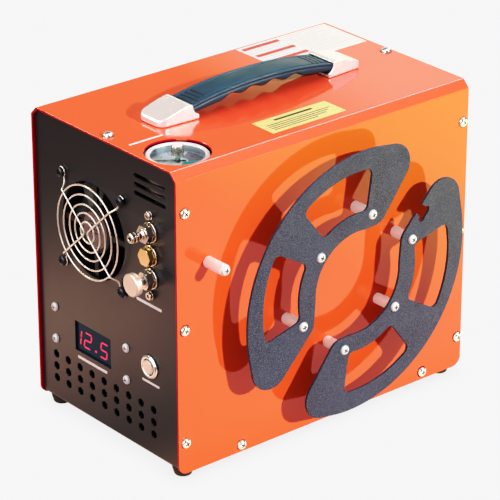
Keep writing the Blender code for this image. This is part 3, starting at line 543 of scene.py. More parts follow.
# dark blue rubber; its lighter blue-grey rims from the bevel mask are a painted
# edge highlight
GRIP = shader("grip_rubber", (0.024, 0.060, 0.090), 0.46, ior=1.40,
              blotch=(30.0, 0.10), grain=(2100.0, 0.35, 0.05),
              grain2=(520.0, 0.12, 0.05), smudge=0.2,
              edge_wear_and_highlight=((0.20, 0.25, 0.33), 0.6, 0.45))
CAPS = shader("satin_plated_cap", (0.90, 0.93, 0.93), 0.26, 0.40,
              grain=(1600.0, 0.12, 0.02), blotch=(25.0, 0.03), smudge=0.25)
CHROME = shader("chrome", (0.86, 0.86, 0.87), 0.09, 1.0, blotch=(40.0, 0.03),
                smudge=0.5, grain=(700.0, 0.05, 0.02))
KNURL = shader("brushed_knob", (0.36, 0.37, 0.32), 0.24, 0.85,
               blotch=(900.0, 0.45), stretch=(1.0, 1.0, 0.02),
               grain=(1500.0, 0.5, 0.06))
# turned satin metal, its base tinted warm as a painted reflection of the warm
# table
SATIN_PAINTED_WARMTH = shader("turned_satin_painted_warm_reflection", (0.90, 0.78, 0.66), 0.34, 0.62,
               blotch=(50.0, 0.04), smudge=0.35, grain=(1800.0, 0.15, 0.02))
BRIGHT = shader("bright_zinc", (0.86, 0.98, 1.0), 0.36, 0.10, smudge=0.3,
                blotch=(220.0, 0.08), grain=(1200.0, 0.15, 0.03))
ZINC = shader("zinc_plate", (0.82, 0.89, 0.95), 0.17, 0.95, smudge=0.4,
              blotch=(220.0, 0.10), grain=(1200.0, 0.18, 0.03))
NICKEL = shader("nickel_plate", (0.66, 0.56, 0.52), 0.15, 1.0, smudge=0.4,
                blotch=(160.0, 0.08), grain=(900.0, 0.10, 0.02))
WIRE = shader("chromed_wire", (0.97, 0.94, 0.84), 0.22, 0.55, smudge=0.4,
              blotch=(120.0, 0.05), grain=(900.0, 0.12, 0.03))
BRASS = shader("brass", (0.84, 0.56, 0.27), 0.20, 1.0, blotch=(90.0, 0.08),
               smudge=0.35, grain=(1500.0, 0.14, 0.02))
STEEL = shader("machined_steel", (0.46, 0.45, 0.44), 0.32, 1.0,
               blotch=(60.0, 0.12), grain=(1800.0, 0.2, 0.02))
ALLOY = shader("cast_alloy", (0.56, 0.57, 0.58), 0.45, 1.0,
               blotch=(45.0, 0.10), grain=(1100.0, 0.4, 0.08))
PLASTIC = shader("moulded_black", (0.015, 0.017, 0.017), 0.42,
                 grain=(1300.0, 0.25, 0.04), blotch=(60.0, 0.15),
                 edge_wear_and_highlight=((0.06, 0.055, 0.05), 0.5, 0.3))
BLADE = shader("blade_plastic", (0.018, 0.016, 0.015), 0.30,
               grain=(900.0, 0.12, 0.03), blotch=(60.0, 0.15))
OXIDE = shader("black_oxide", (0.040, 0.046, 0.055), 0.30, 0.35,
               grain=(1300.0, 0.25, 0.03), blotch=(150.0, 0.2))
NYLON_PAINTED_GLOW = shader("white_nylon_painted_glow", (0.95, 0.88, 0.84), 0.40, sss=(0.35, 1.2),
               grain=(700.0, 0.15, 0.04), blotch=(90.0, 0.04))
# faint emission: a painted glow that keeps the spacers bright in shade
NYLON_PAINTED_GLOW.node_tree.nodes["Principled BSDF"].inputs[
    "Emission Color"].default_value = (1.0, 0.80, 0.74, 1.0)
NYLON_PAINTED_GLOW.node_tree.nodes["Principled BSDF"].inputs[
    "Emission Strength"].default_value = 0.10
DIAL = shader("dial_face", (0.74, 0.82, 0.88), 0.45, blotch=(120.0, 0.04),
              grain=(2500.0, 0.10, 0.01))
TEAL = shader("dial_teal", (0.0, 0.44, 0.38), 0.40, blotch=(150.0, 0.05))
INK = shader("printed_black", (0.015, 0.016, 0.018), 0.40, blotch=(300., 0.1))
GREY = shader("dial_grey", (0.22, 0.20, 0.26), 0.45, blotch=(150.0, 0.05))
PAPER = shader("white_vinyl", (0.84, 0.90, 0.91), 0.28, blotch=(60.0, 0.02),
               grain=(500.0, 0.05, 0.02), coat=(0.5, 0.06))
REDINK = shader("red_print", (0.62, 0.025, 0.045), 0.30, blotch=(120.0, 0.06))
YELLOW = shader("yellow_vinyl", (0.86, 0.86, 0.27), 0.28, blotch=(60.0, 0.02),
                coat=(0.5, 0.06))
WHITE = shader("white_print", (0.86, 0.92, 0.92), 0.45, blotch=(200.0, 0.06))
# dark blue-grey for the cross recess in screw heads: painted shade
RECESS_PAINTED_SHADE = shader("drive_recess_painted_shade", (0.09, 0.22, 0.31), 0.50, 0.10,
                grain=(1500.0, 0.2, 0.02), blotch=(400.0, 0.15))
RING = shader("plated_ring", (0.90, 0.95, 0.98), 0.20, 0.20, smudge=0.3,
              blotch=(90.0, 0.03), grain=(900.0, 0.08, 0.02))
CARD = shader("hub_label", (0.20, 0.17, 0.17), 0.40, blotch=(90.0, 0.08))
SMOKE = shader("smoked_lens", (0.012, 0.042, 0.082), 0.08, ior=1.22,
               blotch=(20.0, 0.2), smudge=0.5, tint=(0.4, 0.9, 1.0))
GLASS = clear("gauge_glass", (0.93, 0.97, 0.97))
DIGIT = glow("display_red", (0.80, 0.035, 0.10), 0.62)
SEAL = shader("seal_rubber", (0.012, 0.011, 0.010), 0.55, blotch=(90., 0.2),
              grain=(1200.0, 0.2, 0.03))
INSIDE = shader("tray_inside", (0.02, 0.018, 0.017), 0.5, blotch=(20., 0.1))

# ==================================================================== screws


def phillips(r, h, shank=2.5, drive=0.62, steps=40):
    """Pan head with a cross recess, head standing on z 0, in millimetres."""
    prof = soften([(0, h), (r * 0.55, h * 0.97), (r * 0.93, h * 0.60),
                   (r, h * 0.10), (r, 0), (r * 0.48, 0), (r * 0.48, -shank),
                   (0, -shank)],
                  [0, r * 0.9, r * 0.35, 0.05, 0.05, 0, 0, 0], 4, closed=False)
    head = lathe(prof, steps=steps)
    w, d = r * 0.165, h * 0.55
    tools = []
    for a in (0, 90):
        m = bmesh.new()
        got = bmesh.ops.create_cone(m, cap_ends=True, segments=4,
                                    radius1=w * 0.55, radius2=w * 1.45,
                                    depth=d + 0.6)
        bmesh.ops.rotate(m, verts=m.verts, cent=(0, 0, 0),
                         matrix=Matrix.Rotation(math.radians(45), 3, 'Z'))
        bmesh.ops.scale(m, vec=(drive * r / w, 1.0, 1.0), verts=m.verts)
        bmesh.ops.rotate(m, verts=m.verts, cent=(0, 0, 0),
                         matrix=Matrix.Rotation(math.radians(a), 3, 'Z'))
        bmesh.ops.translate(m, vec=(0, 0, h - d / 2 + 0.3), verts=m.verts)
        me = bpy.data.meshes.new("tmp")
        m.to_mesh(me)
        m.free()
        tools.append(me)
    cross = combine('UNION', tools[0], tools[1])
    return combine('DIFFERENCE', head, cross)


def screw_master(name, r, h, mat, shank=2.5, rim=None, recess_shade=None):
    me = phillips(r, h, shank)
    if rim:                                     # plain washer under the head
        me = joined(me, lathe(soften([(r * 0.5, 0), (rim, 0), (rim, -0.6),
                                      (r * 0.5, -0.6)], 0.15, 2), ring=True,
                              steps=40))
    weld(me)
    me.materials.clear()
    me.materials.append(mat)
    me.materials.append(recess_shade or RECESS_PAINTED_SHADE)
    for f in me.polygons:                       # walls and floor of the cross get the painted-shade colour
        d = math.hypot(f.center.x, f.center.y)
        dome = h * (1 - 0.03 * d / (0.55 * r)) if d < 0.55 * r else (
            h * (0.97 - 0.37 * (d - 0.55 * r) / (0.38 * r)))
        if d < 0.72 * r and 0.02 < f.center.z < dome - 0.10:
            f.material_index = 1
    me.transform(Matrix.Scale(MM, 4))
    me.shade_smooth()
    me.set_sharp_from_angle(angle=math.radians(38))
    me.name = name
    return me


def set_screw(name, master, at, way, twist=0.0, body="case", stands=()):
    ob = bpy.data.objects.new(name, master)
    SCN.collection.objects.link(ob)
    ob.matrix_world = (Matrix.Translation(ORG + Vector(at) * MM) @ TURN[way]
                       @ Matrix.Rotation(math.radians(twist), 4, 'Z'))
    bpy.context.view_layer.update()
    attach(ob, body)
    if stands:
        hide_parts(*stands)
    return ob


COVER_SCREW = screw_master("cover_screw", 4.0, 2.6, ZINC, rim=4.7)
REEL_SCREW = screw_master("reel_screw", 3.8, 2.3, BRIGHT)
PANEL_SCREW = screw_master("panel_screw", 3.5, 2.2, BRIGHT)
FAN_SCREW = screw_master("fan_screw", 4.1, 2.9, OXIDE, shank=8.0, recess_shade=INK)
SMALL_SCREW = screw_master("small_screw", 2.6, 1.8, ZINC, shank=2.0)

# ===================================================================== cover
sec = [(0, 0), (0, H - FOLD), (FOLD, H), (W - FOLD, H), (W, H - FOLD), (W, 0)]
f_in = FOLD - SHEET * (2 - math.sqrt(2))
inner = [(W - SHEET, 0), (W - SHEET, H - SHEET - f_in),
         (W - SHEET - f_in, H - SHEET), (SHEET + f_in, H - SHEET),
         (SHEET, H - SHEET - f_in), (SHEET, 0)]
skin = soften(sec + inner, [0, 1.9, 1.9, 1.9, 1.9, 0, 0, .5, .5, .5, .5, 0], 6)
cover = plate([skin], 'X', 0, L, 0.28, 2)
cuts = []
for mx in (lambda x: x, lambda x: L - x):
    pts = [(-3, -3), (8, -3)] + sweep(8, 8, 8, 270, 180, 12) + [(-3, 8)]
    cuts.append(plate([[(mx(x), z) for x, z in pts]], 'Y', -6, W + 6))
GX, GY = centre("gauge_bezel").x, centre("gauge_bezel").y
hole = [(0, H - 9), (24.3, H - 9), (24.3, H - 0.45)]
hole += [(24.75 - 0.45 * math.cos(math.radians(a)),
          H - 0.45 + 0.45 * math.sin(math.radians(a))) for a in (30, 60, 90)]
hole += [(24.75, H + 4), (0, H + 4)]
cuts.append(lathe(hole, (GX, GY, 0), steps=120))
cover = combine('DIFFERENCE', cover, *cuts)
shell = piece("cover_shell", cover, ORANGE, stands=("top_cover",),
              angle=26)
shell.data.materials.append(EDGE_PAINTED_SHADE)
shell.data.materials.append(ORANGE_SIDE_PAINTED_LIGHT)
# cut edges and inner faces take the darker enamel as painted shade; the outer
# sides take the side enamel
for f in shell.data.polygons:
    if abs(f.normal.x) > 0.8:
        f.material_index = 1
    elif abs(f.normal.y) > 0.8:                 # inner faces also get the dark painted-shade enamel
        y = (f.center.y - ORG.y) / MM
        f.material_index = 1 if 1.0 < y < W - 1.0 else 2

n = 0
for side, way in ((0.0, '-Y'), (W, '+Y')):
    for x, z in ((7.6, 207.1), (6.8, 116.1), (6.8, 25.2), (59.1, 5.8),
                 (240.9, 6.5), (276.6, 206.3), (276.4, 116.1), (277.7, 25.1)):
        n += 1
        set_screw("cover_screw_%02d" % n, COVER_SCREW, (x, side, z), way,
                  twist=(n * 37) % 90)
for x, y in ((7.7, 87.1), (275.6, 85.8)):
    n += 1
    set_screw("cover_screw_%02d" % n, COVER_SCREW, (x, y, H), '+Z',
              twist=(n * 37) % 90)

# ====================================================================== tray
FAN = centre("fan_impeller")
FY, FZ = FAN.y, FAN.z
PITCH = 71.5
FAN_HOLES = [(FY + a * PITCH / 2, FZ + b * PITCH / 2)
             for a, b in ((1, 1), (-1, 1), (1, -1), (-1, -1))]
PORTS = [centre(nm) for nm in ("fill_nipple", "blanking_plug", "bleed_spindle")]
PY = PORTS[0].y
PORT_Z = [p.z for p in PORTS]
PORT_SCREWS = [centre("manifold_screw_" + t) for t in ("upper", "lower")]
BTN = centre("button_cap")
WIN = centre("display_lens")
WIN_W, WIN_H = 43.6, 24.2

ins = SHEET + GAP
ft = FOLD - ins * (2 - math.sqrt(2))
face = [(ins, 7.0), (W - ins, 7.0), (W - ins, H - ins - ft),
        (W - ins - ft, H - ins), (ins + ft, H - ins), (ins, H - ins - ft)]
face = soften(face, [0, 0, 1.2, 1.2, 1.2, 1.2], 3)
loops = [face, circle(FY, FZ, 37.6, 120)]
loops += [circle(y, z, 2.3, 20) for y, z in FAN_HOLES]
loops += [slot(32.8, z, 36.2, 3.3) for z in (221.7, 214.9, 208.1)]
loops += [circle(PY, z, 5.3, 32) for z in PORT_Z]
loops += [circle(PY, p.z, 1.9, 20) for p in PORT_SCREWS]
loops += [soften(rect(WIN.y, WIN.z, WIN_W, WIN_H), 0.5, 3),
          circle(BTN.y, BTN.z, 8.1, 48)]
loops += [soften(hexagon(32.3 + 14.93 * i, z, 3.5), 0.3, 2)
          for i in range(9) for z in (20.4, 30.5, 40.6)]
front = plate(loops, 'X', PX0, PX1, 0.22, 1)
INLET = centre("power_inlet")
rear = plate([face, rect(INLET.y, INLET.z, 28, 21)]
             + [slot(W / 2, 124 + 14 * i, 96, 4) for i in range(5)],
             'X', RX1 - SHEET, RX1, 0.22, 1)
z0, z1 = FLOOR0, FLOOR0 + SHEET
trough = soften([(PX0, 9), (PX0, z0), (RX1, z0), (RX1, 9), (RX1 - SHEET, 9),
                 (RX1 - SHEET, z1), (PX1, z1), (PX1, 9)],
                [0, 2.2, 2.2, 0, 0, 0.7, 0.7, 0], 5)
floor = plate([trough], 'Y', ins, W - ins, 0.2, 1)
parts = [front, rear]
for xa, xb in ((PX0 + 0.4, PX0 + 12), (RX1 - 12, RX1 - 0.4)):
    parts += [block((xa, xb), (ins, ins + SHEET), (6, H - ins - ft - 1)),
              block((xa, xb), (W - ins - SHEET, W - ins), (6, H - ins - ft - 1)),
              block((xa, xb), (ins + ft + 1, W - ins - ft - 1),
                    (H - ins - SHEET, H - ins))]
tray = combine('UNION', floor, *parts)
tray = combine('DIFFERENCE', tray,
               lathe([(0, 222), (23.3, 222), (23.3, 250), (0, 250)],
                     (GX, GY, 0), steps=64))
piece("base_tray_shell", tray, BLACK, stands=("base_tray",),
      angle=26)

for i, (y, z) in enumerate(((151.3, 80.5), (151.3, 54.0), (63.6, 79.3),
                            (63.6, 53.2))):
    set_screw("panel_screw_%d" % (i + 1), PANEL_SCREW, (PX0, y, z), '-X',
              twist=20 + 31 * i)
for i, dy in enumerate((-17.0, 17.0)):
    set_screw("inlet_screw_%d" % (i + 1), SMALL_SCREW,
              (corner("power_inlet")[1].x, INLET.y + dy, INLET.z), '+X',
              twist=15 + 50 * i)

# ====================================================================== feet
for tag in ("front_left", "front_right", "rear_left", "rear_right"):
    lo, hi = corner("foot_" + tag)
    c = (lo + hi) / 2
    b, t = lo.z, hi.z
    prof = soften([(0, t), (8.2, t), (8.2, t - 1.5), (7.9, t - 3.2), (6.4, b),
                   (3.9, b), (3.6, b + 2.4), (0, b + 2.4)],
                  [0, .3, .6, 1.5, 1.3, .4, .3, 0], 4, closed=False)
    piece("rubber_foot_" + tag, lathe(prof, (c.x, c.y, 0), steps=48), RUBBER,
          stands=("foot_" + tag,))
    set_screw("foot_screw_" + tag, SMALL_SCREW, (c.x, c.y, b + 2.4), '-Z',
              twist=c.x % 90)

# ==================================================================== handle
HY = centre("handle_grip").y
MIDX = L / 2


def grip_top(x):
    t = min(1.0, abs(x - MIDX) / (MIDX - 71.5))
    return H + 9.6 + 6.6 * (1 - t ** 2.2)


def grip_under(x):
    d = abs(x - MIDX)
    t = 7.0 - 1.2 * min(1.0, max(0.0, d - 41) / 30)
    if d < 41:
        t -= 2.8 * (math.sin(math.pi * d / 20.5)) ** 2
    return grip_top(x) - t


GROOVES = [75.6 + 4.3 * i for i in range(4)]


def groove(x):
    d = min(x, L - x)
    g = 0.0
    for c in GROOVES:
        g = max(g, 1.0 - min(1.0, abs(d - c) / 0.85) ** 4)
    return g


xs = [66.0 + 1.0 * i for i in range(8)]
x = 73.0
while x < 91.0:
    xs.append(x)
    x += 0.36
xs += [91.0 + 1.6 * i for i in range(32)]
xs = [v for v in xs if v < MIDX - 0.4]
xs = xs + [MIDX] + [L - v for v in xs[::-1]]
HALF = 13.5
BEAD = 2.1                                      # half width of the edge bead


def grip_section(x):
    """Closed (y, z) loop, counted from the middle of the top."""
    t, u = grip_top(x), grip_under(x)
    g = groove(x)
    side = t - u
    top = []
    for y, dz in ((0, 0.55), (3.0, 0.52), (6.0, 0.40), (8.0, 0.24),
                  (8.8, 0.12)):
        top.append((y, t + dz - 1.35 * g))
    # groove beside the bead, then the bead itself
    top += [(8.9, t + 0.10 - 0.3 * g), (9.15, t - 0.35), (9.5, t - 0.62),
            (9.85, t - 0.35)]
    for a in range(0, 181, 22):
        w = math.radians(180 - a)
        top.append((HALF - BEAD * 0.92 + BEAD * 0.86 * math.cos(w) + 0.0,
                    t - 0.55 + 0.85 * math.sin(w)))
    top += [(HALF - 0.25, t - 1.5), (HALF - 0.55, t - 1.9),
            (HALF - 0.35, t - 2.4)]
    low = u + 0.0
    bot = [(HALF, t - 2.9), (HALF, (t - 2.9 + low + 1.2) / 2),
           (HALF - 0.1, low + 1.1), (HALF - 0.5, low + 0.4),
           (HALF - 1.4, low + 0.05), (HALF - 5, low), (0, low)]
    right = top + bot
    left = [(-y, z) for y, z in right[1:-1]][::-1]
    return right + left


bm = bmesh.new()
rings = []
for x in xs:
    rings.append([bm.verts.new((x, HY + y, z)) for y, z in grip_section(x)])
k = len(rings[0])
for a, b in zip(rings, rings[1:]):
    for i in range(k):
        bm.faces.new((a[i], b[i], b[(i + 1) % k], a[(i + 1) % k]))
bm.faces.new(rings[0][::-1])
bm.faces.new(rings[-1])
bmesh.ops.recalc_face_normals(bm, faces=bm.faces)
me = bpy.data.meshes.new("grip")
bm.to_mesh(me)
bm.free()
piece("strap_grip", me, GRIP, stands=("handle_grip",),
      angle=50)

for tag, s in (("front", 1), ("rear", -1)):
    def mx(x):
        return x if s > 0 else L - x
    b0 = H + GAP
    side = [(43.5, b0), (78.5, b0), (78.5, b0 + 3.4)]
    side += sweep(79.6, b0 + 9.6, 6.2, 258, 186, 8)
    side += [(73.2, b0 + 11.2), (70.5, b0 + 11.7), (64, b0 + 10.6),
             (55, b0 + 8.4), (49, b0 + 6.6), (45.2, b0 + 5.2),
             (43.5, b0 + 3.6)]
    side = soften(side, [0, 0.4, 1.2] + [0] * 9 + [0.6, 4, 8, 8, 8, 2.4, 1.6],
                  5)
    body = plate([[(mx(x), z) for x, z in side]], 'Y', HY - 15.5, HY + 15.5)
    plan = soften([(43.5, HY - 13.4), (78.5, HY - 15.5), (78.5, HY + 15.5),
                   (43.5, HY + 13.4)], [6.5, 0.8, 0.8, 6.5], 8)
    body = combine('INTERSECT', body,
                   plate([[(mx(x), y) for x, y in plan]], 'Z', b0 - 1, b0 + 20))
    pocket = soften([(60, b0 + 2.4), (95, b0 + 1.6), (95, b0 + 10.05),
                     (71, b0 + 10.05), (60, b0 + 7.6)], 0.5, 3)
    pocket = plate([[(mx(x), z) for x, z in pocket]], 'Y', HY - 13.62,
                   HY + 13.62)
    body = melted(combine('DIFFERENCE', body, pocket), 0.42, 12)
    for v in body.vertices:       # draft towards the top, outside the pocket
        t = max(0.0, (v.co.z - b0 - 2.2) / 9.5)
        wall = min(1.0, max(0.0, (abs(v.co.y - HY) - 13.62) / 1.5))
        v.co.y = HY + (v.co.y - HY) * (1 - 0.055 * t * wall)
        v.co.x += s * 0.9 * t * max(0.0, 1 - abs(v.co.x - mx(43.5)) / 18)
    piece("handle_end_" + tag, body, CAPS, stands=("handle_cap_" + tag,),
          angle=120)

# ======================================================================= fan
fx = corner("fan_frame")[0].x
fx1 = corner("fan_frame")[1].x
flange = [soften(rect(FY, FZ, 80, 80), 4.0, 6), circle(FY, FZ, 38.2, 96)]
flange += [circle(y, z, 2.25, 20) for y, z in FAN_HOLES]
shell = plate(flange, 'X', fx, fx + 3.6, 0.3, 1)
shell2 = plate(flange, 'X', fx1 - 3.6, fx1, 0.3, 1)
tubew = lathe([(38.2, 0), (39.6, 0), (39.6, fx1 - fx - 0.6),
               (38.2, fx1 - fx - 0.6)], (fx + 0.3, FY, FZ), '+X', 96, True)
hub = lathe(soften([(0, 0), (17.5, 0), (17.5, 3.2), (0, 3.2)],
                   [0, 0.8, 0, 0], 4, closed=False), (fx, FY, FZ), '+X', 64)
arms = []
for a in (0, 90, 180, 270):
    arm = block((fx + 0.4, fx + 2.8), (12, 39), (-2.2, 2.2))
    arm.transform(Matrix.Translation((0, FY, FZ))
                  @ Matrix.Rotation(math.radians(a), 4, 'X'))
    arms.append(arm)
body = combine('UNION', shell, tubew, shell2, hub, *arms)
piece("fan_housing", body, PLASTIC, stands=("fan_frame",),
      angle=35)
piece("fan_hub_label", lathe(soften([(0, 0), (14.2, 0), (14.2, 0.12),
                                     (0, 0.12)], 0.03, 1, closed=False),
                             (fx - 0.13, FY, FZ), '+X', 64), CARD)
bars = [plate([rect(FY + 1.0, FZ + 5.5 - 2.6 * i, wd, 0.8)], 'X', fx - 0.17,
              fx - 0.12) for i, wd in enumerate((13, 16, 9, 14))]
piece("fan_label_bars", joined(*bars), INK, flat=True)

# curved blades on a dished hub
ix0 = corner("fan_impeller")[0].x
bm = bmesh.new()
for i in range(7):
    nr, nc = 8, 10
    grid = []
    for a in range(nr + 1):
        r = 15.9 + (36.2 - 15.9) * a / nr
        row = []
        for c in range(nc + 1):
            u = c / nc - 0.5
            chord = 15.5 + 6.0 * a / nr
            pitch = math.radians(46 - 12 * a / nr)
            lead = math.radians(10) * (a / nr) ** 1.4
            ax = chord * u * math.sin(pitch) + 1.6 * (0.25 - u * u)
            th = (2 * math.pi * i / 7 + lead
                  + chord * u * math.cos(pitch) / max(r, 17.5))
            row.append((ix0 + 9.9 + ax, FY + r * math.cos(th),
                        FZ + r * math.sin(th), th, pitch))
        grid.append(row)
    layers = []
    for sgn in (-0.55, 0.55):
        layer = []
        for row in grid:
            line = []
            for (px, py, pz, th, pitch) in row:
                nx, nt_ = math.cos(pitch), -math.sin(pitch)
                line.append(bm.verts.new((px + sgn * nx,
                                          py - sgn * nt_ * math.sin(th),
                                          pz + sgn * nt_ * math.cos(th))))
            layer.append(line)
        layers.append(layer)
    lo_, up_ = layers
    for a in range(nr):
        for c in range(nc):
            bm.faces.new((lo_[a][c], lo_[a][c + 1], lo_[a + 1][c + 1],
                          lo_[a + 1][c]))
            bm.faces.new((up_[a][c], up_[a + 1][c], up_[a + 1][c + 1],
                          up_[a][c + 1]))
    rim = ([(a, 0) for a in range(nr)] + [(nr, c) for c in range(nc)]
           + [(a, nc) for a in range(nr, 0, -1)]
           + [(0, c) for c in range(nc, 0, -1)])
    for (a, c), (d, e) in zip(rim, rim[1:] + rim[:1]):
        bm.faces.new((lo_[a][c], lo_[d][e], up_[d][e], up_[a][c]))
bmesh.ops.recalc_face_normals(bm, faces=bm.faces)
blades = bpy.data.meshes.new("blades")
bm.to_mesh(blades)
bm.free()
ilen = corner("fan_impeller")[1].x - ix0
core = lathe(soften([(0, 0), (13.5, 0), (16.5, 1.6), (16.5, ilen), (0, ilen)],
                    [0, 0.6, 1.5, 0.4, 0], 4, closed=False),
             (ix0, FY, FZ), '+X', 64)
piece("fan_wheel", combine('UNION', core, blades), BLADE, body="fan_rotor",
      stands=("fan_impeller",), angle=35)

# guard: five rings with two bent wires welded across them
GR = 0.74
GXP = corner("fan_guard")[0].x + 2.5           # plane of the rings
paths = [[(GXP, y, z) for y, z in circle(FY, FZ, R, 96)]
         for R in (36.3, 29.0, 21.6, 15.1, 8.1)]
guard = wire(paths, GR, 3, True)


def bent(side):
    h = PITCH / 2
    y0, apex = FY + side * h, FY + side * 2.3
    xf, xb = GXP - 1.6, PX0 - 1.15
    top, bot = FZ + h, FZ - h
    hook = sweep(0, 0, 3.6, 45, 222, 16)
    pts = [(xb, y0 + side * a, top + b) for a, b in hook]
    pts += flow([(xb, y0 - side * 3.2, top - 5.0),
                 (xb - 1.5, y0 - side * 4.9, top - 7.6),
                 (xf, y0 - side * 7.6, top - 10.4)], 5)[1:]
    pts += flow([(xf, apex + side * 4.4, FZ + 5.9),
                 (xf, apex + side * 0.7, FZ + 2.0), (xf, apex, FZ),
                 (xf, apex + side * 0.7, FZ - 2.0),
                 (xf, apex + side * 4.4, FZ - 5.9)], 5)
    low = [(p[0], p[1], 2 * FZ - p[2]) for p in pts[:len(hook) + 10]]
    return pts + low[::-1]


guard = joined(guard, wire([bent(1), bent(-1)], GR, 3))
piece("finger_guard", guard, WIRE, stands=("fan_guard",),
      angle=60)
for i, (y, z) in enumerate(FAN_HOLES):
    set_screw("fan_bolt_%d" % (i + 1), FAN_SCREW, (PX0 - 2.0, y, z), '-X',
              twist=12 + 29 * i, stands=("fan_screw_%d" % (i + 1),))

# ===================================================================== gauge
GZ = H
bez = soften([(19.8, 235.3), (19.8, 236.1), (20.4, 236.65), (22.6, 236.75),
              (23.15, 236.2), (23.15, 235.3)], [0, .2, .35, .5, .3, 0], 4)
piece("gauge_rim", lathe(bez, (GX, GY, 0), steps=120, ring=True), RING,
      stands=("gauge_bezel",))
cup = soften([(0, 212.3), (21.6, 212.3), (21.6, 234.9), (22.8, 234.9),
              (22.8, 210.3), (6.0, 210.3), (6.0, 201.3), (0, 201.3)],
             [0, .8, .2, .2, 1.5, .5, .4, 0], 4, closed=False)
piece("gauge_cup", lathe(cup, (GX, GY, 0), steps=96), STEEL,
      stands=("gauge_case",))
dtop = corner("gauge_dial")[1].z
wall = soften([(20.7, dtop - 0.2), (21.45, dtop - 0.2), (21.45, 233.8),
               (20.9, 233.8)], 0.08, 2)
piece("gauge_inner_ring", lathe(wall, (GX, GY, 0), steps=120, ring=True),
      shader("inner_ring", (0.30, 0.38, 0.46), 0.3, 0.3))
piece("dial_plate", lathe(soften([(2.0, dtop - 0.8), (2.0, dtop),
                                  (21.2, dtop), (21.2, dtop - 0.8)], 0.08, 2),
                          (GX, GY, 0), steps=120, ring=True), DIAL,
      stands=("gauge_dial",))
piece("gauge_window", lathe(soften([(2.2, 233.9), (2.2, 235.0), (21.2, 235.0),
                                    (21.2, 233.9)], 0.12, 2), (GX, GY, 0),
                            steps=96, ring=True), GLASS,
      stands=("gauge_lens",))


def sector(r0, r1, a0, a1, n=24):
    return sweep(GX, GY, r1, a0, a1, n) + sweep(GX, GY, r0, a1, a0, n)


piece("dial_green_zone", plate([sector(4.6, 19.6, -103, -35)], 'Z', dtop,
                               dtop + 0.03), TEAL, flat=True)
piece("dial_grey_zone", plate([sector(8.0, 19.6, -33, 29)], 'Z', dtop,
                              dtop + 0.03), GREY, flat=True)
ticks = []
for i in range(41):                             # 270 degrees from the zero
    a = math.radians(142 - 270 * i / 40)
    long = i % 5 == 0
    r0, r1, w = (16.4, 19.9, 0.42) if long else (18.3, 19.9, 0.22)
    c, s = math.cos(a), math.sin(a)
    ticks.append(plate([[(GX + r * c - q * s, GY + r * s + q * c)
                         for r, q in ((r0, -w / 2), (r1, -w / 2), (r1, w / 2),
                                      (r0, w / 2))]], 'Z', dtop + 0.035,
                       dtop + 0.06))
ticks.append(plate([sector(19.9, 20.15, -128, 142, 90)], 'Z', dtop + 0.035,
                   dtop + 0.06))
piece("dial_scale", joined(*ticks), INK, flat=True)

digits = []
for i in range(9):                              # 0 .. 40 printed by fives
    a = math.radians(142 - 270 * i / 8)
    cu = bpy.data.curves.new("tmp", 'FONT')
    cu.body = str(i * 5)
    cu.size = 2.9
    cu.align_x = 'CENTER'
    cu.align_y = 'CENTER'
    cu.extrude = 0.012
    me = from_curve(cu)
    me.transform(Matrix.Translation((GX + 14.2 * math.cos(a),
                                     GY + 14.2 * math.sin(a), dtop + 0.045))
                 @ Matrix.Rotation(math.radians(-90), 4, 'Z'))
    digits.append(me)
piece("dial_numbers", joined(*digits), INK, flat=True)


def hand(a, tail, tip, w0, w1, wide=None):
    c, s = math.cos(a), math.sin(a)
    pts = [(-tail, -w0), (0, -w0 * 1.1), (tip * 0.55, -(w0 + w1) / 2),
           (tip, -w1 * 0.4), (tip, w1 * 0.4), (tip * 0.55, (w0 + w1) / 2),
           (0, w0 * 1.1), (-tail, w0)]
    return [(GX + p * c - q * s, GY + p * s + q * c) for p, q in pts]


nz0 = corner("gauge_needle")[0].z
hubn = lathe(soften([(0, nz0), (2.4, nz0), (2.4, nz0 + 1.1), (0, nz0 + 1.1)],
                    [0, .2, .35, 0], 3, closed=False), (GX, GY, 0), steps=40)
blade = plate([hand(math.radians(142), 6.0, 17.5, 0.95, 0.5)], 'Z', nz0 + 0.2,
              nz0 + 0.8, 0.12, 1)
piece("needle_hand", combine('UNION', hubn, blade), INK, body="gauge_hand",
      stands=("gauge_needle",))
kz = corner("gauge_set_knob")[1].z
prof = [(0, kz), (4.0, kz), (4.65, kz - 0.7), (4.65, 237.2), (4.2, 236.9),
        (4.2, 236.3), (4.6, 236.0), (4.6, 235.5), (1.8, 235.5),
        (1.8, 232.7), (0, 232.7)]
knob = lathe(soften(prof, [0, .35, .45, .3, .2, .2, .2, .2, 0, 0, 0], 4,
                    closed=False), (GX, GY, 0), steps=64)
arm = plate([hand(math.radians(172), 1.2, 12.5, 1.0, 0.55)], 'Z', 232.9, 233.4,
            0.1, 1)
piece("set_point_knob", joined(knob, arm), KNURL, body="set_point",
      stands=("gauge_set_knob",))
piece("set_knob_cap", lathe(soften([(0, kz + 0.02), (3.7, kz + 0.02),
                                    (3.7, kz - 0.15), (0, kz - 0.15)],
                                   [0, .05, 0, 0], 2, closed=False),
                            (GX, GY, 0), steps=48), WHITE, body="set_point")

# =========================================================== display, button
lens = corner("display_lens")
lx = lens[0].x
piece("display_window", plate([soften(rect(WIN.y, WIN.z, lens[1].y - lens[0].y,
                                           lens[1].z - lens[0].z), 1.0, 3)],
                              'X', lx, lens[1].x, 0.12, 1), SMOKE,
      stands=("display_lens",))

SEG = {'a': 'h', 'd': 'h', 'g': 'h'}
SHOW = {'1': 'bc', '2': 'abged', '5': 'afgcd'}


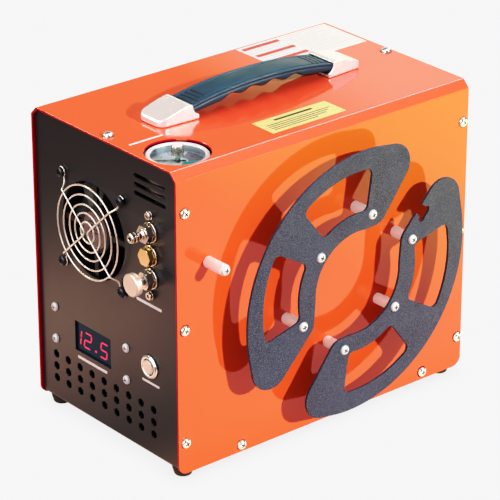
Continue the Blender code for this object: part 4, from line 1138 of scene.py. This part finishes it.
def segments(char, ymax, z0, w=9.0, hgt=13.6, t=1.3):
    """Seven-segment strokes; ymax is the left side seen from the front."""
    out = []
    g = 0.18
    hx, hz = w / 2, hgt / 2
    lines = {'a': ((0, hgt), (w, hgt)), 'g': ((0, hz), (w, hz)),
             'd': ((0, 0), (w, 0)), 'f': ((0, hz), (0, hgt)),
             'e': ((0, 0), (0, hz)), 'b': ((w, hz), (w, hgt)),
             'c': ((w, 0), (w, hz))}
    for s in SHOW[char]:
        (u0, v0), (u1, v1) = lines[s]
        # pull the stroke centre line inside the digit box
        def fit(u, v):
            return (t / 2 + u * (w - t) / w, t / 2 + v * (hgt - t) / hgt)
        (u0, v0), (u1, v1) = fit(u0, v0), fit(u1, v1)
        d = Vector((u1 - u0, v1 - v0)).normalized()
        nrm = Vector((-d.y, d.x)) * t / 2
        p0, p1 = Vector((u0, v0)) + d * g, Vector((u1, v1)) - d * g
        ring = [p0, p0 + d * t / 2 + nrm, p1 - d * t / 2 + nrm, p1,
                p1 - d * t / 2 - nrm, p0 + d * t / 2 - nrm]
        out.append([(ymax - q.x - math.tan(math.radians(9)) * q.y, z0 + q.y)
                    for q in ring])
    return out


rings = (segments('1', 131.3, 58.2) + segments('2', 119.0, 58.2)
         + segments('5', 99.2, 57.6))
rings.append(rect(103.6, 60.1, 2.0, 1.7))
strokes = [plate([r], 'X', lx - 0.06, lx + 0.02) for r in rings]
piece("display_digits", joined(*strokes), DIGIT, flat=True)

bb = corner("button_body")
prof = [(0, -5.2), (6.4, -5.2), (6.4, 1.7), (6.75, 2.15), (7.9, 2.2),
        (9.0, 1.35), (9.2, 0.9), (9.2, 0.3), (7.8, 0.3), (7.8, -21), (0, -21)]
piece("button_housing", lathe(soften(prof, [0, 0, .2, .25, .5, .4, .3, .2, 0,
                                            .5, 0], 4, closed=False),
                              (PX0, BTN.y, BTN.z), '-X', 96), CHROME,
      stands=("button_body",))
prof = [(0, 3.1), (4.6, 3.05), (5.3, 2.85), (5.5, 2.4), (5.5, -2.2),
        (0, -2.2)]
piece("button_face", lathe(soften(prof, [0, 3, .6, .3, .2, 0], 4,
                                  closed=False), (PX0, BTN.y, BTN.z), '-X',
                           72), SATIN_PAINTED_WARMTH, body="start_button",
      stands=("button_cap",))

# ================================================================== fittings
for i, tag in enumerate(("fill", "blank", "bleed")):
    z = PORT_Z[i]
    piece("seal_ring_" + tag,
          lathe(soften([(5.2, 0.3), (5.2, 1.5), (6.7, 1.5), (6.9, 1.75),
                        (7.7, 1.75), (8.0, 1.4), (8.0, 0.3)],
                       [0, .1, .1, .1, .3, .3, .1], 3), (PX0, PY, z), '-X',
                80, True), NICKEL, stands=("washer_" + tag,))
    piece("seal_rubber_" + tag,
          lathe(soften([(5.25, 1.45), (5.25, 1.95), (6.55, 1.95),
                        (6.7, 1.45)], [.1, .15, .15, .1], 2), (PX0, PY, z),
                '-X', 64, True), SEAL)


def chamfered_hex(z, a, b, r=7.1, chamfer=0.75):
    """Hexagon bar end with turned chamfers, from a to b off the panel."""
    body = plate([hexagon(PY, z, r, 0)], 'X', PX0 - b, PX0 - a, 0.0)
    cone = lathe([(0, a - 1), (r + 2, a - 1), (r + 2, b - 1.5),
                  (r * 0.94, b), (0, b)], (PX0, PY, z), '-X', 96)
    return combine('INTERSECT', body, cone)


prof = [(0, 10.8), (1.5, 10.8), (1.5, 19.0), (1.75, 19.2), (3.1, 19.2),
        (3.9, 18.3), (3.9, 16.1), (3.5, 15.6), (3.9, 15.1), (3.9, 13.6),
        (2.7, 12.3), (2.7, 9.8), (4.2, 8.7), (4.4, 7.6), (4.4, 4.0), (4.9, 4.0),
        (4.9, -8.5), (0, -8.5)]
nip = lathe(soften(prof, [0, 0, .1, .1, .5, .4, .2, .3, .2, .4, .5, .5, .3, 0,
                          0, 0, .3, 0], 4, closed=False),
            (PX0, PY, PORT_Z[0]), '-X', 72)
nip = combine('UNION', nip, chamfered_hex(PORT_Z[0], 1.98, 7.6))
piece("filler_nipple", nip, NICKEL, stands=("fill_nipple",),
      angle=30)
plug = lathe(soften([(0, -8.5), (4.9, -8.5), (4.9, 6.0), (0, 6.0)],
                    [0, .4, 0, 0], 3, closed=False), (PX0, PY, PORT_Z[1]),
             '-X', 64)
plug = combine('UNION', plug, chamfered_hex(PORT_Z[1], 1.98, 6.9))
piece("blank_plug", plug, BRASS, stands=("blanking_plug",),
      angle=30)
valve = lathe(soften([(0, -8.5), (4.9, -8.5), (4.9, 7.2), (4.6, 8.1),
                      (2.9, 8.1), (2.9, -6.8), (0, -6.8)],
                     [0, .4, 0, .3, .1, 0, 0], 3, closed=False),
              (PX0, PY, PORT_Z[2]), '-X', 64)
cap = chamfered_hex(PORT_Z[2], 1.98, 7.7)
cap = combine('DIFFERENCE', cap, lathe([(0, 0), (3.4, 0), (3.4, 12), (0, 12)],
                                       (PX0, PY, PORT_Z[2]), '-X', 64))
piece("valve_body", combine('UNION', valve, cap), NICKEL,
      stands=("bleed_valve_body",), angle=30)
piece("valve_spindle",
      lathe(soften([(0, -4.5), (2.5, -4.5), (2.5, 9.3), (2.1, 9.7),
                    (2.1, 10.4), (2.5, 10.8), (2.5, 16.6), (0, 16.6)],
                   [0, .3, .1, .1, .1, .1, .2, 0], 3, closed=False),
            (PX0, PY, PORT_Z[2]), '-X', 48), STEEL, body="bleed_stem",
      stands=("bleed_spindle",))
kx = PX0 - corner("bleed_knob")[0].x
prof = [(0, kx), (7.9, kx), (8.65, kx - 0.55), (8.65, kx - 4.7),
        (8.1, kx - 5.2), (2.9, kx - 5.2), (2.9, kx - 2.4), (0, kx - 2.4)]
piece("bleed_wheel", lathe(soften(prof, [0, .35, .35, .35, .3, .2, 0, 0], 4,
                                  closed=False), (PX0, PY, PORT_Z[2]), '-X',
                           120), SATIN_PAINTED_WARMTH, body="bleed_handwheel",
      stands=("bleed_knob",))
for tag, p in zip(("upper", "lower"), PORT_SCREWS):
    prof = [(0, 2.0), (1.4, 2.0), (1.4, 3.7), (2.6, 3.7), (3.1, 3.3),
            (3.1, 2.35), (2.65, 2.1), (2.65, 1.75), (3.4, 1.5), (3.4, 0.3),
            (1.5, 0.3), (1.5, -8), (0, -8)]
    piece("block_screw_" + tag,
          lathe(soften(prof, [0, 0, .1, .3, .2, .15, .1, .1, .2, .1, 0, .2, 0],
                       3, closed=False), (PX0, p.y, p.z), '-X', 48), NICKEL,
          stands=("manifold_screw_" + tag,))

# ====================================================================== reel
RX, RZ = 154.7, 116.4
PLY = corner("reel_plate_left")[0].y           # outer face of the plates
PLT = 2.0


def polar(r, a):
    return (RX + r * math.cos(math.radians(a)),
            RZ + r * math.sin(math.radians(a)))


def window(r0, r1, a0, a1, c):
    out = []
    d0, d1 = math.degrees(c / (r0 + c)), math.degrees(c / (r1 - c))
    for r, a, t in ((r1 - c, a0 + d1, a0 - 90), (r1 - c, a1 - d1, a1)):
        cx, cy = polar(r, a)
        if t == a1:
            out += [polar(r1, a0 + d1 + (a1 - a0 - 2 * d1) * i / 16)
                    for i in range(1, 16)]
        out += sweep(cx, cy, c, t, t + 90, 8)
    for r, a, t in ((r0 + c, a1 - d0, a1 + 90), (r0 + c, a0 + d0, a0 + 180)):
        cx, cy = polar(r, a)
        if t == a0 + 180:
            out += [polar(r0, a1 - d0 - (a1 - a0 - 2 * d0) * i / 12)
                    for i in range(1, 12)]
        out += sweep(cx, cy, c, t, t + 90, 8)
    return out


def opposite(pts):
    return [(2 * RX - x, 2 * RZ - z) for x, z in pts]


REEL_SCREWS = [polar(53, 76), polar(48.5, 140), polar(57, 200)]
wing = (sweep(161.8, 107.2, 113.3, 84, 191, 72)
        + sweep(70.5, 73.0, 17.2, 193, 312, 22)
        + sweep(100.0, 97.0, 12.0, -49, -4, 8)
        + sweep(RX, RZ, 41.5, 184, 82, 36)
        + sweep(170.0, 171.0, 13.0, -84, -42, 8)
        + sweep(188.0, 201.0, 16.5, -38, 82, 22))
holes = [window(56.0, 88.8, 81.8, 127.0, 5.0),
         window(57.5, 91.5, 150.0, 194.5, 5.0)]
holes += [circle(x, z, 2.2, 24) for x, z in REEL_SCREWS]
left = plate([wing] + holes, 'Y', PLY, PLY + PLT, 0.3, 2)
piece("winding_plate_left", left, SLATE, stands=("reel_plate_left",),
      angle=30)
right = plate([opposite(p) for p in [wing] + holes], 'Y', PLY, PLY + PLT,
              0.3, 2)
t50 = math.radians(50)


def rim(pts):
    return [(x * math.cos(t50) - z * math.sin(t50) + 219.8,
             x * math.sin(t50) + z * math.cos(t50) + 153.3) for x, z in pts]


right = combine('DIFFERENCE', right,
                plate([rim(slot(0, 0, 13.5, 5.4))], 'Y', PLY - 3, PLY + 6),
                plate([rim(soften(rect(1.0, 4.5, 8.2, 7.0), 0.3, 2))], 'Y',
                      PLY - 3, PLY + 6))
piece("winding_plate_right", right, SLATE, stands=("reel_plate_right",),
      angle=30)
SPACERS = REEL_SCREWS + opposite(REEL_SCREWS) + [
    (centre("reel_standoff_7").x, centre("reel_standoff_7").z)]
for i, (x, z) in enumerate(SPACERS):
    top = -corner("reel_standoff_%d" % (i + 1))[0].y
    prof = soften([(0, top), (4.35, top), (4.35, GAP), (0, GAP)],
                  [0, .45, .35, 0], 4, closed=False)
    piece("spacer_%d" % (i + 1), lathe(prof, (x, 0, z), '-Y', 48), NYLON_PAINTED_GLOW,
          stands=("reel_standoff_%d" % (i + 1),))
    y = PLY if i < 6 else -top
    set_screw("reel_screw_%d" % (i + 1), REEL_SCREW, (x, y, z), '-Y',
              twist=(17 + 41 * i) % 90)

# ==================================================================== labels
Z = H


def sticker(name, x0, x1, y0, y1, mat, r=0.6, up=0.06, base=None):
    b = Z if base is None else base
    cx, cy = (x0 + x1) / 2, (y0 + y1) / 2
    return piece(name, plate([soften(rect(cx, cy, x1 - x0, y1 - y0), r, 3)],
                             'Z', b, b + up, 0.0), mat,
                 flat=True)


sticker("plain_white_label", 188.9, 279.5, 112.0, 163.0, PAPER)
reds = []
for x0, x1, y in ((191.7, 228, 157.6), (191.7, 230, 140.6), (191.7, 231, 126)):
    reds.append(plate([rect((x0 + x1) / 2, y, x1 - x0, 4.6)], 'Z', Z + 0.06,
                      Z + 0.09))
piece("white_label_bars", joined(*reds), REDINK, flat=True)
fine = []
for i in range(11):
    for x0, x1 in ((234, 272 - (i * 7) % 12), (192, 226 - (i * 5) % 9)):
        y = 160 - 4.1 * i
        if x0 < 200 and min(abs(y - v) for v in (157.6, 140.6, 126)) < 3.4:
            continue
        fine.append(plate([rect((x0 + x1) / 2, y, x1 - x0, 0.55)], 'Z',
                          Z + 0.06, Z + 0.09))
piece("white_label_lines", joined(*fine), shader(
    "pale_print", (0.50, 0.52, 0.56), 0.4, blotch=(120.0, 0.06)),
    flat=True)
top_bar = plate([soften(rect(23.75, 63.2, 30.5, 2.2), 0.7, 2)], 'Z', Z, Z + 0.05)
piece("gauge_mark", top_bar, WHITE, flat=True)
sticker("plain_yellow_label", 101.0, 171.0, 14.0, 38.5, YELLOW)
marks = []
for x0, x1, y, h in ((118, 154, 33.2, 2.4), (106, 166, 27.6, 0.9),
                     (106, 162, 24.6, 0.9), (106, 158, 21.6, 0.9),
                     (106, 148, 18.6, 0.9)):
    marks.append(plate([rect((x0 + x1) / 2, y, x1 - x0, h)], 'Z', Z + 0.06,
                       Z + 0.09))
piece("yellow_label_bars", joined(*marks), INK, flat=True)

PF = PX0 - 0.03                                 # print on the control panel


def pbar(y0, y1, z, h):
    return plate([soften(rect((y0 + y1) / 2, z, abs(y1 - y0), h), h * 0.3, 2)],
                 'X', PF, PX0 + 0.005)


prints = [pbar(88, 124, 49.2, 2.2), pbar(25, 45, 61.6, 1.8),
          pbar(21, 50, 125.0, 2.2)]
piece("panel_marks", joined(*prints), WHITE, flat=True)

# ============================================= CAD nodes that stay in sight
KEEP = {
    "display_module": PLASTIC, "button_nut": ZINC, "manifold_block": ALLOY,
    "power_supply": ALLOY, "power_inlet": PLASTIC, "motor_case": STEEL,
    "motor_bracket": STEEL, "motor_pinion": STEEL, "crank_gear": STEEL,
    "crankcase": ALLOY, "cylinder_low_stage": ALLOY,
    "cylinder_high_stage": ALLOY, "separator_bottle": ALLOY,
    "high_pressure_line": STEEL, "delivery_line": STEEL,
}
for node, mat in KEEP.items():
    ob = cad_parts[node]
    ob.data.materials.clear()
    ob.data.materials.append(mat)

# contact pins in the mains inlet
pins = [block((RX1 - 13.5, RX1 - 4.5), (INLET.y + dy - 0.9, INLET.y + dy + 0.9),
              (INLET.z + dz - 1.9, INLET.z + dz + 1.9))
        for dy, dz in ((-7, -1.5), (7, -1.5), (0, 2.0))]
piece("inlet_pins", joined(*pins), BRASS, bevel=0.35)

# ===================================================================== stage
CAM = bpy.data.cameras.new("camera")
CAM.sensor_width = 36.0
CAM.lens = 203.05
CAM.clip_start, CAM.clip_end = 0.1, 50.0
cam = bpy.data.objects.new("camera", CAM)
SCN.collection.objects.link(cam)
right_, up_, back_ = (Vector((0.7676, -0.6410, -0.0004)),
                      Vector((0.2678, 0.3201, 0.9087)),
                      Vector((-0.5823, -0.6976, 0.4174)))
rot = Matrix((right_, up_, back_)).transposed().to_quaternion()
cam.rotation_mode = 'QUATERNION'
cam.rotation_quaternion = rot
cam.location = (-1.24437, -1.48822, 1.01274)
SCN.camera = cam

PALE = 1.03
bm = bmesh.new()
bmesh.ops.create_grid(bm, x_segments=8, y_segments=8, size=9.0)
me = bpy.data.meshes.new("floor")
bm.to_mesh(me)
bm.free()
ground = bpy.data.objects.new("floor", me)
SCN.collection.objects.link(ground)
gm = bpy.data.materials.new("studio_floor")
gm.use_nodes = True
nt = gm.node_tree
nt.nodes.clear()
out = nt.nodes.new("ShaderNodeOutputMaterial")
path = nt.nodes.new("ShaderNodeLightPath")
# camera rays see the floor as pale emission, dimmed by AO next to the object: a
# painted contact shadow
ao = nt.nodes.new("ShaderNodeAmbientOcclusion")
ao.inputs["Distance"].default_value = 0.014
ao.samples = 12
mr = nt.nodes.new("ShaderNodeMapRange")
mr.inputs[1].default_value, mr.inputs[2].default_value = 0.15, 1.0
mr.inputs[3].default_value, mr.inputs[4].default_value = PALE * 0.84, PALE
nt.links.new(ao.outputs["AO"], mr.inputs[0])
floor_with_painted_shadow = nt.nodes.new("ShaderNodeEmission")
nt.links.new(mr.outputs[0], floor_with_painted_shadow.inputs["Strength"])
# what the object sees of the table: warm, bright where the key falls
geo = nt.nodes.new("ShaderNodeNewGeometry")
sep = nt.nodes.new("ShaderNodeSeparateXYZ")
nt.links.new(geo.outputs["Position"], sep.inputs[0])


def ramp(src, a, b, lo, hi):
    m = nt.nodes.new("ShaderNodeMapRange")
    m.interpolation_type = 'SMOOTHSTEP'
    for i, v in enumerate((a, b, lo, hi)):
        m.inputs[i + 1].default_value = v
    nt.links.new(src, m.inputs[0])
    return m.outputs[0]


def calc(op, a, b):
    m = nt.nodes.new("ShaderNodeMath")
    m.operation = op
    for i, v in enumerate((a, b)):
        if isinstance(v, float):
            m.inputs[i].default_value = v
        else:
            nt.links.new(v, m.inputs[i])
    return m.outputs[0]


def pool(cx, cy, r):
    """Bright pool of light on the table round a point, metres."""
    d = nt.nodes.new("ShaderNodeVectorMath")
    d.operation = 'DISTANCE'
    d.inputs[1].default_value = (cx, cy, 0.0)
    nt.links.new(geo.outputs["Position"], d.inputs[0])
    return ramp(d.outputs["Value"], r, 0.0, 0.0, 1.0)


front_half = ramp(sep.outputs["Y"], 0.02, -0.14, 0.0, 1.0)
cut = ramp(sep.outputs["X"], -0.30, -0.12, 0.0, 1.0)
# only for rays that left the reel side: follow them back to its plane
ray = nt.nodes.new("ShaderNodeSeparateXYZ")
nt.links.new(geo.outputs["Incoming"], ray.inputs[0])
slope = calc('DIVIDE', ray.outputs["X"],
             calc('MAXIMUM', ray.outputs["Y"], 0.001))
source = calc('SUBTRACT', sep.outputs["X"], calc(
    'MULTIPLY', calc('ADD', sep.outputs["Y"], 0.0755), slope))
cut = calc('MULTIPLY', cut, ramp(source, 0.156, 0.150, 0.0, 1.0))
front_half = calc('MULTIPLY', front_half, cut)
mirror = []
for color, part in (
        ((1.0, 0.62, 0.42), calc('MULTIPLY', front_half, ramp(
            sep.outputs["X"], -0.20, 0.15, 2.2, 3.0))),
        ((1.0, 1.0, 0.02), calc('MULTIPLY', front_half, ramp(
            sep.outputs["X"], 0.17, 0.46, 0.0, 2.0))),
        ((0.94, 0.68, 0.54), calc('ADD', calc('MULTIPLY', pool(
            -0.24, 0.21, 0.30), 1.5), 0.30))):
    em = nt.nodes.new("ShaderNodeEmission")
    em.inputs["Color"].default_value = color + (1.0,)
    nt.links.new(part, em.inputs["Strength"])
    mirror.append(em.outputs[0])
while len(mirror) > 1:
    both = nt.nodes.new("ShaderNodeAddShader")
    nt.links.new(mirror.pop(), both.inputs[0])
    nt.links.new(mirror.pop(), both.inputs[1])
    mirror.append(both.outputs[0])
soft = nt.nodes.new("ShaderNodeEmission")
soft.inputs["Color"].default_value = (1.0, 0.52, 0.46, 1)
soft.inputs["Strength"].default_value = 0.42
m1 = nt.nodes.new("ShaderNodeMixShader")
nt.links.new(path.outputs["Is Glossy Ray"], m1.inputs[0])
nt.links.new(soft.outputs[0], m1.inputs[1])
nt.links.new(mirror[0], m1.inputs[2])
m2 = nt.nodes.new("ShaderNodeMixShader")
nt.links.new(path.outputs["Is Camera Ray"], m2.inputs[0])
nt.links.new(m1.outputs[0], m2.inputs[1])
nt.links.new(floor_with_painted_shadow.outputs[0], m2.inputs[2])
below = nt.nodes.new("ShaderNodeBsdfTransparent")   # open seen from below
m3 = nt.nodes.new("ShaderNodeMixShader")
nt.links.new(geo.outputs["Backfacing"], m3.inputs[0])
nt.links.new(m2.outputs[0], m3.inputs[1])
nt.links.new(below.outputs[0], m3.inputs[2])
nt.links.new(m3.outputs[0], out.inputs["Surface"])
ground.data.materials.append(gm)

world = bpy.data.worlds.new("studio")
SCN.world = world
world.use_nodes = True
nt = world.node_tree
nt.nodes.clear()
out = nt.nodes.new("ShaderNodeOutputWorld")
tc = nt.nodes.new("ShaderNodeTexCoord")
BASE = 0.18


def lobe(direction, lo, hi, power):
    """Soft bright patch of sky round a direction."""
    d = nt.nodes.new("ShaderNodeVectorMath")
    d.operation = 'DOT_PRODUCT'
    d.inputs[1].default_value = Vector(direction).normalized()
    nt.links.new(tc.outputs["Generated"], d.inputs[0])
    m = nt.nodes.new("ShaderNodeMapRange")
    m.interpolation_type = 'SMOOTHSTEP'
    for i, v in enumerate((lo, hi, 0.0, power)):
        m.inputs[i + 1].default_value = v
    nt.links.new(d.outputs["Value"], m.inputs[0])
    return m.outputs[0]


def added(terms):
    out_ = terms[0]
    for s_ in terms[1:]:
        a = nt.nodes.new("ShaderNodeMath")
        for sock, v in zip(a.inputs, (out_, s_)):
            if isinstance(v, float):
                sock.default_value = v
            else:
                nt.links.new(v, sock)
        out_ = a.outputs[0]
    return out_


LOBES = [lobe((0.25, 0.10, 0.96), 0.70, 0.93, 1.35),    # softbox overhead
         lobe((-0.72, 0.35, 0.58), 0.78, 0.95, 1.2)]    # window, far left
STRIPS = [lobe((0.58, 0.24, 0.78), 0.965, 0.99, 13.0),   # seen in the folds
          lobe((0.58, -0.73, 0.36), 0.985, 0.996, 5.0),
          lobe((-0.80, 0.10, 0.59), 0.88, 0.97, 3.2),
          lobe((-0.86, -0.38, 0.34), 0.87, 0.97, 2.8)]
path = nt.nodes.new("ShaderNodeLightPath")
amb_d = nt.nodes.new("ShaderNodeBackground")            # fill, warm in shade
amb_d.inputs["Color"].default_value = (1.0, 0.77, 0.79, 1)
SIDE_FILL = [lobe((-0.97, 0.12, 0.18), 0.55, 0.95, 1.3)]   # from the left
nt.links.new(added(LOBES + SIDE_FILL + [BASE]), amb_d.inputs["Strength"])
amb_g = nt.nodes.new("ShaderNodeBackground")            # seen in gloss
amb_g.inputs["Color"].default_value = (0.97, 0.98, 1.0, 1)
nt.links.new(added(LOBES + STRIPS + [BASE]), amb_g.inputs["Strength"])
amb = nt.nodes.new("ShaderNodeMixShader")
nt.links.new(path.outputs["Is Glossy Ray"], amb.inputs[0])
nt.links.new(amb_d.outputs[0], amb.inputs[1])
nt.links.new(amb_g.outputs[0], amb.inputs[2])
pale = nt.nodes.new("ShaderNodeBackground")
pale.inputs["Strength"].default_value = PALE
ms = nt.nodes.new("ShaderNodeMixShader")
nt.links.new(path.outputs["Is Camera Ray"], ms.inputs[0])
nt.links.new(amb.outputs[0], ms.inputs[1])
nt.links.new(pale.outputs[0], ms.inputs[2])
nt.links.new(ms.outputs[0], out.inputs["Surface"])

key = bpy.data.lights.new("key", 'SUN')
key.energy = 2.85
key.angle = math.radians(2.2)
key.color = (1.0, 0.99, 0.95)
key_ob = bpy.data.objects.new("key", key)
SCN.collection.objects.link(key_ob)
key_ob.rotation_mode = 'QUATERNION'
key_ob.rotation_quaternion = Vector((0.32, -0.86, 0.40)).to_track_quat('Z', 'Y')

# pale card behind, seen in glossy surfaces only, brighter to the right
cm_ = bpy.data.meshes.new("card")
cm_.from_pydata([(-1.5, 0.95, 0.0), (2.6, 0.95, 0.0), (2.6, 0.95, 2.4),
                 (-1.5, 0.95, 2.4)], [], [(0, 1, 2, 3)])
card = bpy.data.objects.new("card", cm_)
SCN.collection.objects.link(card)
card.visible_camera = False
card.visible_diffuse = False
card.visible_shadow = False
card.visible_transmission = False
gm = bpy.data.materials.new("studio_card")
gm.use_nodes = True
nt = gm.node_tree
nt.nodes.clear()
out = nt.nodes.new("ShaderNodeOutputMaterial")
geo = nt.nodes.new("ShaderNodeNewGeometry")
sep = nt.nodes.new("ShaderNodeSeparateXYZ")
nt.links.new(geo.outputs["Position"], sep.inputs[0])
em = nt.nodes.new("ShaderNodeEmission")
em.inputs["Color"].default_value = (1.0, 0.98, 0.66, 1)
seen_x = calc('SUBTRACT', sep.outputs["X"],
              calc('MULTIPLY', sep.outputs["Z"], 1.381))
fade = nt.nodes.new("ShaderNodeMapRange")
for i, v in enumerate((-0.24, -0.07, 0.30, 1.35)):
    fade.inputs[i + 1].default_value = v
nt.links.new(seen_x, fade.inputs[0])
spot = nt.nodes.new("ShaderNodeVectorMath")      # lights the top front edge
spot.operation = 'DISTANCE'
spot.inputs[1].default_value = (-0.66, 0.95, 1.03)
nt.links.new(geo.outputs["Position"], spot.inputs[0])
nt.links.new(calc('ADD', fade.outputs[0],
                  ramp(spot.outputs["Value"], 0.30, 0.14, 0.0, 14.0)),
             em.inputs["Strength"])
nt.links.new(em.outputs[0], out.inputs["Surface"])
card.data.materials.append(gm)


def grade(knots):
    """Contrast curve per channel, from scene light to picture light."""
    vs = SCN.view_settings
    vs.use_curve_mapping = True
    cm = vs.curve_mapping
    cm.use_clip = True
    cm.clip_min_x, cm.clip_max_x = 0.0, 2.0
    cm.clip_min_y, cm.clip_max_y = 0.0, 1.0
    cm.extend = 'HORIZONTAL'
    for curve, pts in zip(cm.curves, knots):
        while len(curve.points) > 2:
            curve.points.remove(curve.points[1])
        curve.points[0].location = pts[0]
        curve.points[-1].location = pts[-1]
        for x, y in pts[1:-1]:
            curve.points.new(x, y)
    cm.update()


CONTRAST = [(0, 0), (0.03, 0.013), (0.06, 0.031), (0.09, 0.056), (0.12, 0.102),
            (0.15, 0.155), (0.20, 0.228), (0.28, 0.310), (0.40, 0.425),
            (0.60, 0.62), (0.90, 0.865), (1.10, 0.945), (2.0, 1.0)]
grade([CONTRAST] * 3)
SCN.view_settings.view_transform = 'Standard'
SCN.view_settings.look = 'None'

bpy.data.collections.remove(BENCH)
